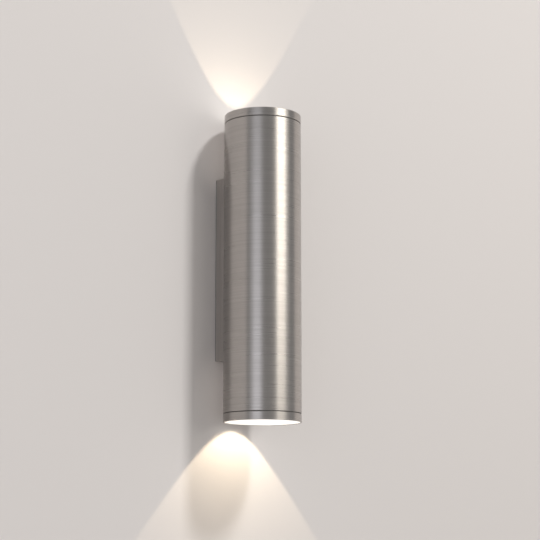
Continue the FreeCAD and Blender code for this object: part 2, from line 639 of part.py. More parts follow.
def lead(name, points):
    """A round lead: straight runs joined by arcs that touch them."""
    corners = [Vector(*p) for p in points]
    pieces, start, radii = [], corners[0], []

    def run(first, last):
        along = last - first
        pieces.append(Part.makeCylinder(LEAD_RADIUS, along.Length, first, along))

    for before, corner, after in zip(corners, corners[1:], corners[2:]):
        arriving, leaving = corner - before, after - corner
        reach = 0.45 * min(arriving.Length, leaving.Length)
        arriving.normalize()
        leaving.normalize()
        turn = acos(arriving.dot(leaving))
        radius = reach / tan(turn / 2)
        inward = leaving - arriving
        inward.normalize()
        centre = corner + inward * (radius / cos(turn / 2))
        first = corner - arriving * reach
        run(start, first)
        disc = Part.Face(Part.Wire(Part.makeCircle(LEAD_RADIUS, first, arriving)))
        pieces.append(disc.revolve(centre, arriving.cross(leaving), turn * 180 / pi))
        start = corner + leaving * reach
        radii.append(radius)
    run(start, corners[-1])
    print(name, "bend radii", [round(r, 1) for r in radii])
    return pieces[0].multiFuse(pieces[1:])


def mirrored(points):
    return [(-x, y, z) for x, y, z in points]


def lead_ends():
    """Height where a lead ends in the terminal, and in the upper lampholder."""
    return TERMINAL_LENGTH / 2 - LEAD_IN_TERMINAL, HOLDER_BACK + LEAD_ENTRY


def make_upper_leads():
    """From the upper lampholder straight down, back through the window, into the terminals."""
    low, high = lead_ends()
    x, pole = PIN_SPACING / 2, POLE_PITCH - LEAD_PAIR_PITCH / 2
    over = BLOCK_LENGTH / 2 + LEAD_RISE
    route = [(x, 0, high), (x, 0, FLANGE_BACK - LEAD_DROP), (pole, WIRE_Y, over),
             (pole, WIRE_Y, low)]
    return Part.makeCompound([lead("upper lead", route), lead("upper lead", mirrored(route))])


def make_lower_leads():
    """From the lower lampholder up in front of the block, over it and down into the terminals."""
    low, high = lead_ends()
    x, pole = PIN_SPACING / 2, POLE_PITCH + LEAD_PAIR_PITCH / 2
    over = BLOCK_LENGTH / 2 + LEAD_RISE
    passing = BLOCK_FRONT - LEAD_PASS
    route = [(x, 0, -high), (x, 0, -FLANGE_BACK + LEAD_DROP),
             (LEAD_LANE, passing, -BLOCK_LENGTH / 2), (LEAD_LANE, passing, over),
             ((LEAD_LANE + pole) / 2, (passing + WIRE_Y) / 2, over + LEAD_CREST),
             (pole, WIRE_Y, over), (pole, WIRE_Y, low)]
    return Part.makeCompound([lead("lower lead", route), lead("lower lead", mirrored(route))])


def earth_barrel_y():
    return EARTH_SCREW_Y - EARTH_BARREL_OFFSET


def make_earth_lead():
    """From the middle terminal up to the tag on the upper flange."""
    low = lead_ends()[0]
    x, y = EARTH_SCREW_X, earth_barrel_y()
    top = FLANGE_BACK - EARTH_TAG_SHEET - EARTH_BARREL_LENGTH / 2
    return lead("earth lead", [(0, WIRE_Y, low), (0, WIRE_Y, BLOCK_LENGTH / 2 + LEAD_RISE),
                               (x, y, FLANGE_BACK - LEAD_DROP), (x, y, top)])


def make_earth_tag():
    """Ring tag under the upper flange, with a crimped barrel for the lead."""
    top = FLANGE_BACK
    foot = top - EARTH_TAG_SHEET
    x, y = EARTH_SCREW_X, earth_barrel_y()
    tag = joined([
        cylinder(EARTH_TAG_RADIUS, foot, top, x, EARTH_SCREW_Y),
        block((x - EARTH_BARREL_RADIUS, x + EARTH_BARREL_RADIUS), (y, EARTH_SCREW_Y), (foot, top)),
        cylinder(EARTH_BARREL_RADIUS, foot - EARTH_BARREL_LENGTH, top, x, y)])
    return tag.cut([cylinder(M3[0] + HOLE_CLEARANCE, foot, top, x, EARTH_SCREW_Y),
                    cylinder(LEAD_RADIUS + SCREW_SEAT_GAP, foot - EARTH_BARREL_LENGTH, foot, x, y)])


def make_earth_screw():
    """Screw that holds the tag, driven upwards."""
    seat = FLANGE_BACK - EARTH_TAG_SHEET
    return at_lower_end(screw(M3, EARTH_SCREW_LENGTH, -EARTH_SCREW_X, EARTH_SCREW_Y, -seat))


# ---------------------------------------------------------------- all pieces

def all_parts():
    parts = {
        "body_tube": make_body_tube(),
        "rear_housing": make_rear_housing(),
        "saddle_gasket": make_saddle_gasket(),
        "wall_gasket": make_wall_gasket(),
        "wall_bracket": make_wall_bracket(),
        "housing_screws": make_housing_screws(),
        "tube_screws": make_tube_screws(),
        "clinch_nuts": make_clinch_nuts(),
        "inner_chassis": make_inner_chassis(),
        "lampholder_screws": make_lampholder_screws(),
        "lampholder_nuts": make_lampholder_nuts(),
        "cable_grommet": make_cable_grommet(),
        "terminal_block": make_terminal_block(),
        "terminal_tubes": make_terminal_tubes(),
        "terminal_screws": make_terminal_screws(),
        "upper_leads": make_upper_leads(),
        "lower_leads": make_lower_leads(),
        "earth_lead": make_earth_lead(),
        "earth_tag": make_earth_tag(),
        "earth_screw": make_earth_screw(),
    }
    at_each_end = {
        "end_ring": make_end_ring,
        "ring_gasket": make_ring_gasket,
        "lens": make_lens,
        "lens_seal": make_lens_seal,
        "lamp_body": make_lamp_body,
        "lamp_front": make_lamp_front,
        "lamp_base": make_lamp_base,
        "lamp_pins": make_lamp_pins,
        "lampholder": make_lampholder,
    }
    for name, make in at_each_end.items():
        upper = make()
        parts["upper_" + name] = upper
        parts["lower_" + name] = at_lower_end(upper)
    return parts


os.makedirs("parts", exist_ok=True)
for node, shape in all_parts().items():
    shape.translate(Vector(0, -WALL_TO_AXIS, 0))
    if not shape.isValid() or not shape.Solids:
        print("not a valid solid:", node)
    print(node, len(shape.Solids), round(shape.Volume, 1))
    shape.exportStep("parts/" + node + ".step")
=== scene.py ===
import json
from math import atan2, cos, pi, radians, sin, tan

import bmesh
import bpy
from mathutils import Euler, Matrix, Vector


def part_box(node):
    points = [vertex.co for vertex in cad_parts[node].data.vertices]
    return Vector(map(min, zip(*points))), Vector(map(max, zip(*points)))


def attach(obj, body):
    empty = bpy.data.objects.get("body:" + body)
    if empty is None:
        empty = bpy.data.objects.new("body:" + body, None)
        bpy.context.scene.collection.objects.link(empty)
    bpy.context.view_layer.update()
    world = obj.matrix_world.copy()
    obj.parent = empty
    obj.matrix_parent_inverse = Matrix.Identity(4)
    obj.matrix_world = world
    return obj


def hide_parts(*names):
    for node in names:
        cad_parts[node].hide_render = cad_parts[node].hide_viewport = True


# Tube wall light: a brushed steel tube on a flat housing, lit at its top and bottom.
# Lengths are written in millimetres and turned to metres by MM.

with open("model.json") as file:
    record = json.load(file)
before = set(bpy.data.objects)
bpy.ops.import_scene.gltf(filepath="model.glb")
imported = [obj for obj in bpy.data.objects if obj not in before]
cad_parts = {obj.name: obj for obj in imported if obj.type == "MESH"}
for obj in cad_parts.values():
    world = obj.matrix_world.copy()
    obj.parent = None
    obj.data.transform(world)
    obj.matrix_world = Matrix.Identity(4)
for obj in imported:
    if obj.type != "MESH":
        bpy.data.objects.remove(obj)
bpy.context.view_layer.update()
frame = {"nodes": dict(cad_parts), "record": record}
MM = 0.001
scene = bpy.context.scene
bodies = {node: body for body, nodes in frame["record"]["behaviour"]["bodies"].items()
          for node in nodes}

# ---------------------------------------------------------------- sizes, read from the frame

tube_low, tube_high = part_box("body_tube")
ring_low, ring_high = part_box("upper_end_ring")
gasket_low, gasket_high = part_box("upper_ring_gasket")
lens_low, lens_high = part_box("upper_lens")

AXIS_Y = (tube_low.y + tube_high.y) / 2
TUBE_R = (tube_high.x - tube_low.x) / 2
END = ring_high.z                       # outer face of the upper ring
TUBE_END = tube_high.z
COLLAR_FOOT = gasket_high.z             # where ring and gasket meet
SKIRT_FOOT = ring_low.z
LENS_TOP, LENS_FOOT = lens_high.z, lens_low.z
LENS_R = (lens_high.x - lens_low.x) / 2
GASKET_R = (gasket_high.x - gasket_low.x) / 2
SEAL_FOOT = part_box("upper_lens_seal")[0].z

BORE_R = 35.0 * MM
MOUTH_R = 36.26 * MM                    # inside of the rim round the lens
LEDGE_R = 32.46 * MM
SKIRT_R = 34.95 * MM
SEAL_BORE_R = 32.86 * MM
MOUTH_CHAMFER = 0.6 * MM
EDGE_ROUND = 0.25 * MM
THREAD_PITCH = 1.5 * MM
THREAD_DEPTH = 0.6 * MM

# The window at the tube's back, with the two holes for the screws that hold the tube.
WINDOW_HALF_WIDTH, WINDOW_CORNER, WINDOW_STEPS = 12.5 * MM, 3 * MM, 8
WINDOW_LOW, WINDOW_HIGH = -58 * MM, 36 * MM
TUBE_SCREW_HOLE_R = 2.15 * MM
CLINCH_NUT_R = 3.6 * MM
CUT_START = AXIS_Y + 20 * MM            # cutters reach from here back to the wall

ROUND_SEGMENTS = 240
ARC_STEPS = 4                           # in a rounded corner
SHARP_ANGLE = radians(35)               # a blunter edge is shaded smooth
WELD = 2e-6                             # points closer than this are one point


# ---------------------------------------------------------------- nodes and materials

def add(tree, kind, inputs=None, **settings):
    """Adds a node. Inputs are values, or the sockets of other nodes to link from."""
    node = tree.nodes.new(kind)
    for name, value in settings.items():
        setattr(node, name, value)
    for key, value in (inputs or {}).items():
        if isinstance(value, bpy.types.NodeSocket):
            tree.links.new(value, node.inputs[key])
        else:
            node.inputs[key].default_value = value
    return node


def linear(colour):
    """An sRGB hex colour as linear red, green, blue and an alpha of 1."""
    parts = [int(colour[i:i + 2], 16) / 255 for i in (1, 3, 5)]
    return tuple(c / 12.92 if c <= 0.04045 else ((c + 0.055) / 1.055) ** 2.4
                 for c in parts) + (1.0,)


def start_material(name, **sockets):
    """A named material with its shader; the sockets hold what is the same all over."""
    material = bpy.data.materials.new(name)
    material.use_nodes = True
    tree = material.node_tree
    tree.nodes.clear()
    shader = add(tree, "ShaderNodeBsdfPrincipled",
                 {key.replace("_", " "): value for key, value in sockets.items()})
    add(tree, "ShaderNodeOutputMaterial", {"Surface": shader.outputs["BSDF"]})
    return material, tree, shader


def pattern(tree, spacing, **inputs):
    """Noise on Object coordinates; spacing is its size in mm along x, y and z."""
    place = add(tree, "ShaderNodeTexCoord")
    fit = add(tree, "ShaderNodeMapping", {
        "Vector": place.outputs["Object"],
        "Location": (0, -AXIS_Y / MM / spacing[1], 0),
        "Scale": tuple(1 / MM / size for size in spacing)})
    noise = add(tree, "ShaderNodeTexNoise", {"Vector": fit.outputs["Vector"], "Scale": 1.0,
                                             **inputs})
    return noise.outputs["Fac"]


def off_axis(tree):
    """How far a point lies from the tube's axis."""
    place = add(tree, "ShaderNodeTexCoord")
    centred = add(tree, "ShaderNodeMapping", {"Vector": place.outputs["Object"],
                                              "Location": (0, -AXIS_Y, 0),
                                              "Scale": (1.0, 1.0, 0.0)})
    return add(tree, "ShaderNodeVectorMath", {0: centred.outputs["Vector"]},
               operation="LENGTH").outputs["Value"]


def texture(tree, shader, relief=None, **varied):
    """Lets patterns drive the shader's sockets. A socket goes from one number or hex colour to
    another as its value goes from 0.3 to 0.7, where most noise lies, or between the two ends
    given after them. The relief is a height, its strength and its depth in mm."""
    for socket, (value, low, high, *ends) in varied.items():
        start, end = ends or (0.3, 0.7)
        coloured = isinstance(low, str)
        result = add(tree, "ShaderNodeMapRange", {
            "Value": value, "From Min": start, "From Max": end,
            "To Min": 0.0 if coloured else low, "To Max": 1.0 if coloured else high})
        if coloured:
            result = add(tree, "ShaderNodeMix", {
                "Factor": result.outputs["Result"], "A": linear(low), "B": linear(high)},
                data_type="RGBA")
        tree.links.new(result.outputs["Result"], shader.inputs[socket.replace("_", " ")])
    if relief:
        height, strength, depth_mm = relief
        bump = add(tree, "ShaderNodeBump", {"Height": height, "Strength": strength,
                                            "Distance": depth_mm * MM})
        tree.links.new(bump.outputs["Normal"], shader.inputs["Normal"])


def brushed_turned_steel():
    # Stainless steel tube, brushed with a belt while it turned: fine lines run round it, so
    # a highlight is drawn out along the tube and its edges look combed.
    material, tree, shader = start_material(
        "brushed_turned_stainless_steel", Metallic=1.0, Anisotropic=0.75,
        Anisotropic_Rotation=0.25)
    # Belt lines are 0.05 to 0.2 mm apart; they are drawn 0.8 mm apart so that they show.
    lines = pattern(tree, (150, 150, 0.8), Detail=0.0)
    marks = pattern(tree, (110, 110, 1.3), Detail=1.0)
    tangent = add(tree, "ShaderNodeTangent", direction_type="RADIAL", axis="Z")
    tree.links.new(tangent.outputs["Tangent"], shader.inputs["Tangent"])
    texture(tree, shader, Base_Color=(lines, "#ADA9A6", "#B5B1AE"),
            Roughness=(marks, 0.27, 0.35), relief=(lines, 0.024, 0.02))
    return material


def brushed_flat_steel():
    # The same steel folded to a box and brushed along its height, drawn paler than the tube's
    # steel as painted light that lifts its shaded sides. The lines are 0.05 to 0.2 mm apart;
    # they are drawn 0.9 mm apart so that they show.
    material, tree, shader = start_material("brushed_flat_stainless_steel", Metallic=1.0)
    lines = pattern(tree, (0.9, 0.9, 70), Detail=3.0, Roughness=0.6)
    marks = pattern(tree, (2.5, 2.5, 30), Detail=2.0)
    # Painted light: these tones are paler than the tube's so that the housing's shaded sides
    # look lighter.
    texture(tree, shader, Base_Color=(lines, "#BAB6B3", "#C7C3C0"),
            Roughness=(marks, 0.38, 0.48), relief=(lines, 0.12, 0.02))
    return material


def zinc_plated_sheet():
    # Cold rolled steel sheet, stamped and zinc plated: a cool grey with a faint cloudy bloom.
    # The plating's grain is drawn at 0.8 mm so that it shows.
    material, tree, shader = start_material("zinc_plated_steel_sheet", Metallic=1.0)
    bloom = pattern(tree, (7, 7, 7), Detail=3.0)
    grain = pattern(tree, (0.8, 0.8, 0.8), Detail=2.0)
    texture(tree, shader, Base_Color=(bloom, "#B4B8BC", "#C9CBCD"),
            Roughness=(bloom, 0.32, 0.48), relief=(grain, 0.1, 0.02))
    return material


def machine_screw_steel():
    # Turned and zinc plated screws: brighter than the sheet, with faint turning marks that are
    # drawn at 0.7 mm so that they show.
    material, tree, shader = start_material("zinc_plated_screw_steel", Metallic=1.0)
    marks = pattern(tree, (0.7, 0.7, 0.7), Detail=2.0)
    texture(tree, shader, Base_Color=(marks, "#B9BBBD", "#D0D1D2"),
            Roughness=(marks, 0.24, 0.36))
    return material


def moulded_rubber(name, dark, pale, roughness=0.62, grain_mm=0.6):
    # Silicone or foam rubber, moulded or cut from sheet: matt, with a soft grain that is drawn
    # coarser than it is so that it shows. The white sleeves of the leads look the same.
    material, tree, shader = start_material(name, IOR=1.43)
    grain = pattern(tree, (grain_mm,) * 3, Detail=3.0)
    texture(tree, shader, Base_Color=(grain, dark, pale),
            Roughness=(grain, roughness, roughness + 0.12), relief=(grain, 0.25, 0.05))
    return material


def moulded_plastic(name, dark, pale, roughness=0.38):
    # Injection moulded plastic: even in colour, with a fine spark-eroded texture that is drawn
    # at 0.6 mm so that it shows.
    material, tree, shader = start_material(name, IOR=1.49)
    cloud = pattern(tree, (9, 9, 9), Detail=2.0)
    grain = pattern(tree, (0.6, 0.6, 0.6), Detail=2.0)
    texture(tree, shader, Base_Color=(cloud, dark, pale),
            Roughness=(grain, roughness - 0.04, roughness + 0.06), relief=(grain, 0.15, 0.02))
    return material


def turned_brass(name, dark, pale):
    # Drawn brass, cut and drilled, bare or tin plated: bright, slightly dulled where handled.
    material, tree, shader = start_material(name, Metallic=1.0)
    dull = pattern(tree, (3, 3, 3), Detail=3.0)
    texture(tree, shader, Base_Color=(dull, dark, pale), Roughness=(dull, 0.2, 0.36))
    return material


def pressed_ceramic():
    # Steatite, dry pressed and fired: off-white, half matt, with fine speckles that are drawn
    # at 0.8 mm so that they show.
    material, tree, shader = start_material("pressed_steatite", IOR=1.57)
    speckle = pattern(tree, (0.8, 0.8, 0.8), Detail=4.0, Roughness=0.7)
    texture(tree, shader, Base_Color=(speckle, "#E3DED3", "#EDE9DF", 0.35, 0.62),
            Roughness=(speckle, 0.38, 0.52), relief=(speckle, 0.2, 0.03))
    return material


def lit_frosted_glass():
    # Tempered glass, etched on its inner side: the lamp behind makes it an even white that
    # warms a little towards the rim. The etch is drawn at 0.9 mm so that it shows.
    material, tree, shader = start_material("lit_etched_glass", IOR=1.52, Roughness=0.18,
                                            Emission_Strength=0.74)
    etch = pattern(tree, (0.9, 0.9, 0.9), Detail=2.0)
    texture(tree, shader,
            Emission_Color=(off_axis(tree), "#FFFEFA", "#FFFAF0", 0.3 * LENS_R, LENS_R),
            Base_Color=(etch, "#F4F3EF", "#FBFAF8", 0.0, 1.0), relief=(etch, 0.05, 0.01))
    return material


def lit_lamp_optic():
    # Moulded acrylic with fine ribs, lit from behind: brightest in the middle.
    material, tree, shader = start_material("lit_ribbed_acrylic", IOR=1.49, Roughness=0.2,
                                            Emission_Strength=0.9)
    reach = off_axis(tree)
    texture(tree, shader, Emission_Color=(reach, "#FFFFFF", "#F2E6CC", 4 * MM, 24 * MM),
            Base_Color=(reach, "#F7F7F5", "#EEEEEC", 4 * MM, 24 * MM))
    return material


def striped_sleeve():
    # Two extruded plastics in one sleeve: a yellow stripe along a green lead. The "stripe"
    # attribute of the mesh runs from -1 to 1 round the lead.
    material, tree, shader = start_material("extruded_green_and_yellow_sleeve", IOR=1.5,
                                            Roughness=0.4)
    stripe = add(tree, "ShaderNodeAttribute", attribute_name="stripe").outputs["Fac"]
    texture(tree, shader, Base_Color=(stripe, "#3E7A34", "#E3C52F", 0.15, 0.3))
    return material


STEEL = brushed_turned_steel()
FLAT_STEEL = brushed_flat_steel()
ZINC = zinc_plated_sheet()
SCREW = machine_screw_steel()
SILICONE = moulded_rubber("moulded_black_silicone", "#262523", "#33312F")
SEAM_SILICONE = moulded_rubber("moulded_grey_silicone", "#62605D", "#6F6C69")
FOAM = moulded_rubber("cut_foam_rubber", "#2C2B2A", "#3B3938", 0.8, 1.1)
CLEAR_SILICONE = moulded_rubber("moulded_clear_silicone", "#D5D4CE", "#E2E1DC", 0.4)
BLOCK_PLASTIC = moulded_plastic("moulded_terminal_polyamide", "#E2DFD6", "#ECEAE3")
LAMP_PLASTIC = moulded_plastic("moulded_lamp_plastic", "#E4E3E0", "#EEEDEA", 0.42)
LAMP_OPTIC = lit_lamp_optic()
BRASS = turned_brass("turned_brass", "#B4924C", "#CDAE66")
TINNED = turned_brass("tin_plated_brass", "#B7B3A8", "#D0CDC4")
LEAD_SLEEVE = moulded_rubber("woven_glass_sleeve", "#D8D4CA", "#E9E6DE", 0.6, 0.5)
EARTH_SLEEVE = striped_sleeve()
CERAMIC = pressed_ceramic()
LIT_GLASS = lit_frosted_glass()


# ---------------------------------------------------------------- making meshes

def as_object(name, bm, material):
    """Turns edited faces into an object at the origin."""
    mesh = bpy.data.meshes.new(name)
    bm.to_mesh(mesh)
    bm.free()
    mesh.materials.clear()
    mesh.materials.append(material)
    piece = bpy.data.objects.new(name, mesh)
    scene.collection.objects.link(piece)
    return piece


def keep(name, bm, material):
    """An object that is welded, faces outward and is smooth but for its sharp edges."""
    bmesh.ops.remove_doubles(bm, verts=bm.verts, dist=WELD)
    bmesh.ops.recalc_face_normals(bm, faces=bm.faces)
    piece = as_object(name, bm, material)
    piece.data.shade_smooth()
    piece.data.set_sharp_from_angle(angle=SHARP_ANGLE)
    return piece


def settle(piece):
    """Puts what the modifiers make into the piece's mesh, and removes them."""
    bpy.context.view_layer.update()
    shaped = piece.evaluated_get(bpy.context.evaluated_depsgraph_get())
    mesh = bpy.data.meshes.new_from_object(shaped)
    piece.modifiers.clear()
    piece.data = mesh
    mesh.name = piece.name
    return piece


def even_normals(piece):
    """Keeps large faces flat beside their small rounded edges."""
    weighted = piece.modifiers.new("even_normals", "WEIGHTED_NORMAL")
    weighted.keep_sharp = True
    return settle(piece)


def rounded(profile):
    """Rounds the corners of a (radius, height, rounding) profile with short arcs."""
    points = []
    for i, (r, z, rounding) in enumerate(profile):
        here = Vector((r, z))
        if rounding == 0:
            points.append(here)
            continue
        before = Vector(profile[i - 1][:2]) - here
        after = Vector(profile[(i + 1) % len(profile)][:2]) - here
        before.normalize()
        after.normalize()
        half = before.angle(after) / 2
        centre = here + (before + after).normalized() * (rounding / sin(half))
        first = here + before * (rounding / tan(half)) - centre
        last = here + after * (rounding / tan(half)) - centre
        for step in range(ARC_STEPS + 1):
            arm = first.lerp(last, step / ARC_STEPS).normalized() * rounding
            points.append(centre + arm)
    return points


def lathe(bm, points, closed=True, segments=ROUND_SEGMENTS, axis_y=AXIS_Y):
    """Turns (radius, height) points about an upright axis; a radius of 0 is a closed pole."""
    rows = []
    for r, z in points:
        if r < 1e-7:
            rows.append([bm.verts.new((0, axis_y, z))] * segments)
        else:
            rows.append([bm.verts.new((r * cos(2 * pi * i / segments),
                                       axis_y + r * sin(2 * pi * i / segments), z))
                         for i in range(segments)])
    pairs = list(zip(rows, rows[1:] + rows[:1])) if closed else list(zip(rows, rows[1:]))
    for first, second in pairs:
        for i in range(segments):
            j = (i + 1) % segments
            corners = []
            for vert in (first[i], first[j], second[j], second[i]):
                if vert not in corners:
                    corners.append(vert)
            if len(corners) > 2:
                bm.faces.new(corners)


def to_lower_end(bm):
    """A half turn about Y takes an upper piece to the lower end."""
    bmesh.ops.rotate(bm, verts=bm.verts, cent=(0, 0, 0), matrix=Matrix.Rotation(pi, 3, "Y"))


def stand_for(piece, node):
    """Puts a piece in the place of a node, on the node's body."""
    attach(piece, bodies[node])
    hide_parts(node)


def geometry_tree(name, inputs):
    """An empty node tree with a geometry and the named inputs."""
    tree = bpy.data.node_groups.new(name, "GeometryNodeTree")
    tree.interface.new_socket("Geometry", in_out="INPUT", socket_type="NodeSocketGeometry")
    for label, kind in inputs:
        tree.interface.new_socket(label, in_out="INPUT", socket_type="NodeSocket" + kind)
    tree.interface.new_socket("Geometry", in_out="OUTPUT", socket_type="NodeSocketGeometry")
    given = add(tree, "NodeGroupInput")
    return tree, given


def close_tree(tree, given, geometry):
    """Ends a tree in Realize Instances and Set Material."""
    real = add(tree, "GeometryNodeRealizeInstances", {"Geometry": geometry})
    coat = add(tree, "GeometryNodeSetMaterial", {"Geometry": real.outputs["Geometry"],
                                                 "Material": given.outputs["Material"]})
    add(tree, "NodeGroupOutput", {"Geometry": coat.outputs["Geometry"]})


def run_tree(tree, name, values, places=()):
    """The mesh that a tree makes from (point, turn) places and named values."""
    mesh = bpy.data.meshes.new(name)
    mesh.from_pydata([point for point, turn in places], [], [])
    turns = mesh.attributes.new("turn", "FLOAT_VECTOR", "POINT")
    for item, (point, turn) in zip(turns.data, places):
        item.vector = turn
    piece = bpy.data.objects.new(name, mesh)
    scene.collection.objects.link(piece)
    modifier = piece.modifiers.new("shape", "NODES")
    modifier.node_group = tree
    for item in tree.interface.items_tree:
        if item.in_out == "INPUT" and item.name in values:
            modifier[item.identifier] = values[item.name]
    return settle(piece)


# A flat grid is wound up to a thread: its columns go round the axis, and four of its rows climb
# one pitch, two on the crest and two in the root. Each line names a value and works it out.
THREAD_STEPS = (
    ("length", "SUBTRACT", "High", "Low"),
    ("turns", "DIVIDE", "length", "Pitch"),
    ("whole turns", "CEIL", "turns"),
    ("turned rows", "MULTIPLY", "whole turns", 4.0),
    ("rows", "ADD", "turned rows", 5.0),
    ("row gaps", "SUBTRACT", "rows", 1.0),
    ("columns", "ADD", "Segments", 1.0),
    ("share", "ADD", "across grid", 0.5),
    ("angle", "MULTIPLY", "share", 2 * pi),
    ("middle row", "DIVIDE", "row gaps", 2.0),
    ("row place", "ADD", "up grid", "middle row"),
    ("row", "ROUND", "row place"),
    ("row turns", "DIVIDE", "row", 4.0),
    ("turns above low", "SUBTRACT", "row turns", 1.0),
    ("climb", "ADD", "turns above low", "share"),
    ("rise", "MULTIPLY", "climb", "Pitch"),
    ("height", "ADD", "Low", "rise"),
    ("not too low", "MAXIMUM", "height", "Low"),
    ("kept height", "MINIMUM", "not too low", "High"),
    ("both ends", "ADD", "Low", "High"),
    ("middle", "MULTIPLY", "both ends", 0.5),
    ("half length", "SUBTRACT", "High", "middle"),
    ("reach", "SUBTRACT", "half length", 1e-6),
    ("from middle", "SUBTRACT", "height", "middle"),
    ("distance", "ABSOLUTE", "from middle"),
    ("past the end", "GREATER_THAN", "distance", "reach"),
    ("row in turn", "MODULO", "row", 4.0),
    ("in root", "GREATER_THAN", "row in turn", 1.5),
    ("sunk", "MAXIMUM", "past the end", "in root"),
    ("sinking", "MULTIPLY", "sunk", "Depth"),
    ("radius", "SUBTRACT", "Radius", "sinking"),
    ("cosine", "COSINE", "angle"),
    ("sine", "SINE", "angle"),
    ("x", "MULTIPLY", "radius", "cosine"),
    ("y", "MULTIPLY", "radius", "sine"))


def thread_tree():
    """A trapezoidal right-handed thread: rows of points that climb round the axis."""
    tree, given = geometry_tree("helical_thread", [
        ("Radius", "Float"), ("Depth", "Float"), ("Pitch", "Float"), ("Low", "Float"),
        ("High", "Float"), ("Segments", "Int"), ("Material", "Material")])
    place = add(tree, "ShaderNodeSeparateXYZ", {
        "Vector": add(tree, "GeometryNodeInputPosition").outputs["Position"]})
    values = {socket.name: socket for socket in given.outputs}
    values["across grid"], values["up grid"] = place.outputs["X"], place.outputs["Y"]
    for name, operation, *terms in THREAD_STEPS:
        values[name] = add(tree, "ShaderNodeMath", {
            i: values.get(term, term) for i, term in enumerate(terms)},
            operation=operation).outputs["Value"]
    grid = add(tree, "GeometryNodeMeshGrid", {
        "Size X": 1.0, "Size Y": values["row gaps"],
        "Vertices X": values["columns"], "Vertices Y": values["rows"]})
    spot = add(tree, "ShaderNodeCombineXYZ", {"X": values["x"], "Y": values["y"],
                                              "Z": values["kept height"]})
    shaped = add(tree, "GeometryNodeSetPosition", {"Geometry": grid.outputs["Mesh"],
                                                   "Position": spot.outputs["Vector"]})
    welded = add(tree, "GeometryNodeMergeByDistance", {
        "Geometry": shaped.outputs["Geometry"], "Distance": WELD})
    close_tree(tree, given, welded.outputs["Geometry"])
    return tree


def copies_tree():
    """Copies of one shape on points, each turned as its point says and spun at random."""
    tree, given = geometry_tree("copies_on_points", [
        ("Shape", "Object"), ("Spin", "Float"), ("Seed", "Int"), ("Material", "Material")])
    turn = add(tree, "GeometryNodeInputNamedAttribute", {"Name": "turn"},
               data_type="FLOAT_VECTOR")
    spin = add(tree, "FunctionNodeRandomValue", {
        2: 0.0, 3: given.outputs["Spin"], "Seed": given.outputs["Seed"]}, data_type="FLOAT")
    spun = add(tree, "FunctionNodeAxisAngleToRotation", {
        "Axis": (0, 0, 1), "Angle": spin.outputs[1]})
    faced = add(tree, "FunctionNodeEulerToRotation", {"Euler": turn.outputs["Attribute"]})
    rotation = add(tree, "FunctionNodeRotateRotation", {
        "Rotation": faced.outputs["Rotation"], "Rotate By": spun.outputs["Rotation"]},
        rotation_space="LOCAL")
    shape = add(tree, "GeometryNodeObjectInfo", {"Object": given.outputs["Shape"]},
                transform_space="ORIGINAL")
    copies = add(tree, "GeometryNodeInstanceOnPoints", {
        "Points": given.outputs["Geometry"], "Instance": shape.outputs["Geometry"],
        "Rotation": rotation.outputs["Rotation"]})
    close_tree(tree, given, copies.outputs["Instances"])
    return tree


THREAD = thread_tree()
COPIES = copies_tree()


def add_thread(bm, radius, depth, pitch, low, high, segments, centre=(0.0, 0.0)):
    """Adds a thread about an upright line to faces that are being edited."""
    strip = run_tree(THREAD, "thread", {
        "Radius": radius, "Depth": depth, "Pitch": pitch, "Low": low, "High": high,
        "Segments": segments, "Material": SCREW})
    strip.data.transform(Matrix.Translation((centre[0], centre[1], 0)))
    for polygon in strip.data.polygons:
        polygon.material_index = 0
    bm.from_mesh(strip.data)
    bpy.data.objects.remove(strip)


def copies(name, shape, places, material, spin=0.0, seed=0):
    """Puts a shape, which goes away, at each (point, turn) place."""
    piece = run_tree(COPIES, name, {"Shape": shape, "Spin": spin, "Seed": seed,
                                    "Material": material}, places)
    bpy.data.objects.remove(shape)
    piece.data.set_sharp_from_angle(angle=SHARP_ANGLE)
    return piece


def cut_with(piece, cutters):
    """Cuts holes with other meshes, which go away."""
    for cutter in cutters:
        cut = piece.modifiers.new("cut", "BOOLEAN")
        cut.operation, cut.solver, cut.object = "DIFFERENCE", "EXACT", cutter
    settle(piece)
    for cutter in cutters:
        bpy.data.objects.remove(cutter)
    bm = bmesh.new()
    bm.from_mesh(piece.data)
    bmesh.ops.remove_doubles(bm, verts=bm.verts, dist=WELD)
    bm.to_mesh(piece.data)
    bm.free()
    return piece


def rod_cutter(height, radius):
    """A rod along Y that bores a hole through the tube's back."""
    bm = bmesh.new()
    turn = Matrix.Translation((0, CUT_START / 2, height)) @ Matrix.Rotation(pi / 2, 4, "X")
    bmesh.ops.create_cone(bm, cap_ends=True, segments=48, radius1=radius, radius2=radius,
                          depth=-CUT_START, matrix=turn)
    return keep("bore", bm, SCREW)


def window_cutter():
    """A prism along Y with round corners that opens the window in the tube's back."""
    bm = bmesh.new()
    outline = []
    for sx, sz, start in ((1, 1, 0), (-1, 1, 90), (-1, -1, 180), (1, -1, 270)):
        middle_x = sx * (WINDOW_HALF_WIDTH - WINDOW_CORNER)
        middle_z = (WINDOW_HIGH if sz > 0 else WINDOW_LOW) - sz * WINDOW_CORNER
        for step in range(WINDOW_STEPS + 1):
            turn = radians(start + step * 90 / WINDOW_STEPS)
            outline.append((middle_x + WINDOW_CORNER * cos(turn),
                            middle_z + WINDOW_CORNER * sin(turn)))
    first = [bm.verts.new((x, CUT_START, z)) for x, z in outline]
    second = [bm.verts.new((x, 0, z)) for x, z in outline]
    bm.faces.new(first)
    bm.faces.new(second)
    for i in range(len(outline)):
        j = (i + 1) % len(outline)
        bm.faces.new((first[i], first[j], second[j], second[i]))
    return keep("opening", bm, SCREW)


# ---------------------------------------------------------------- tube and end rings

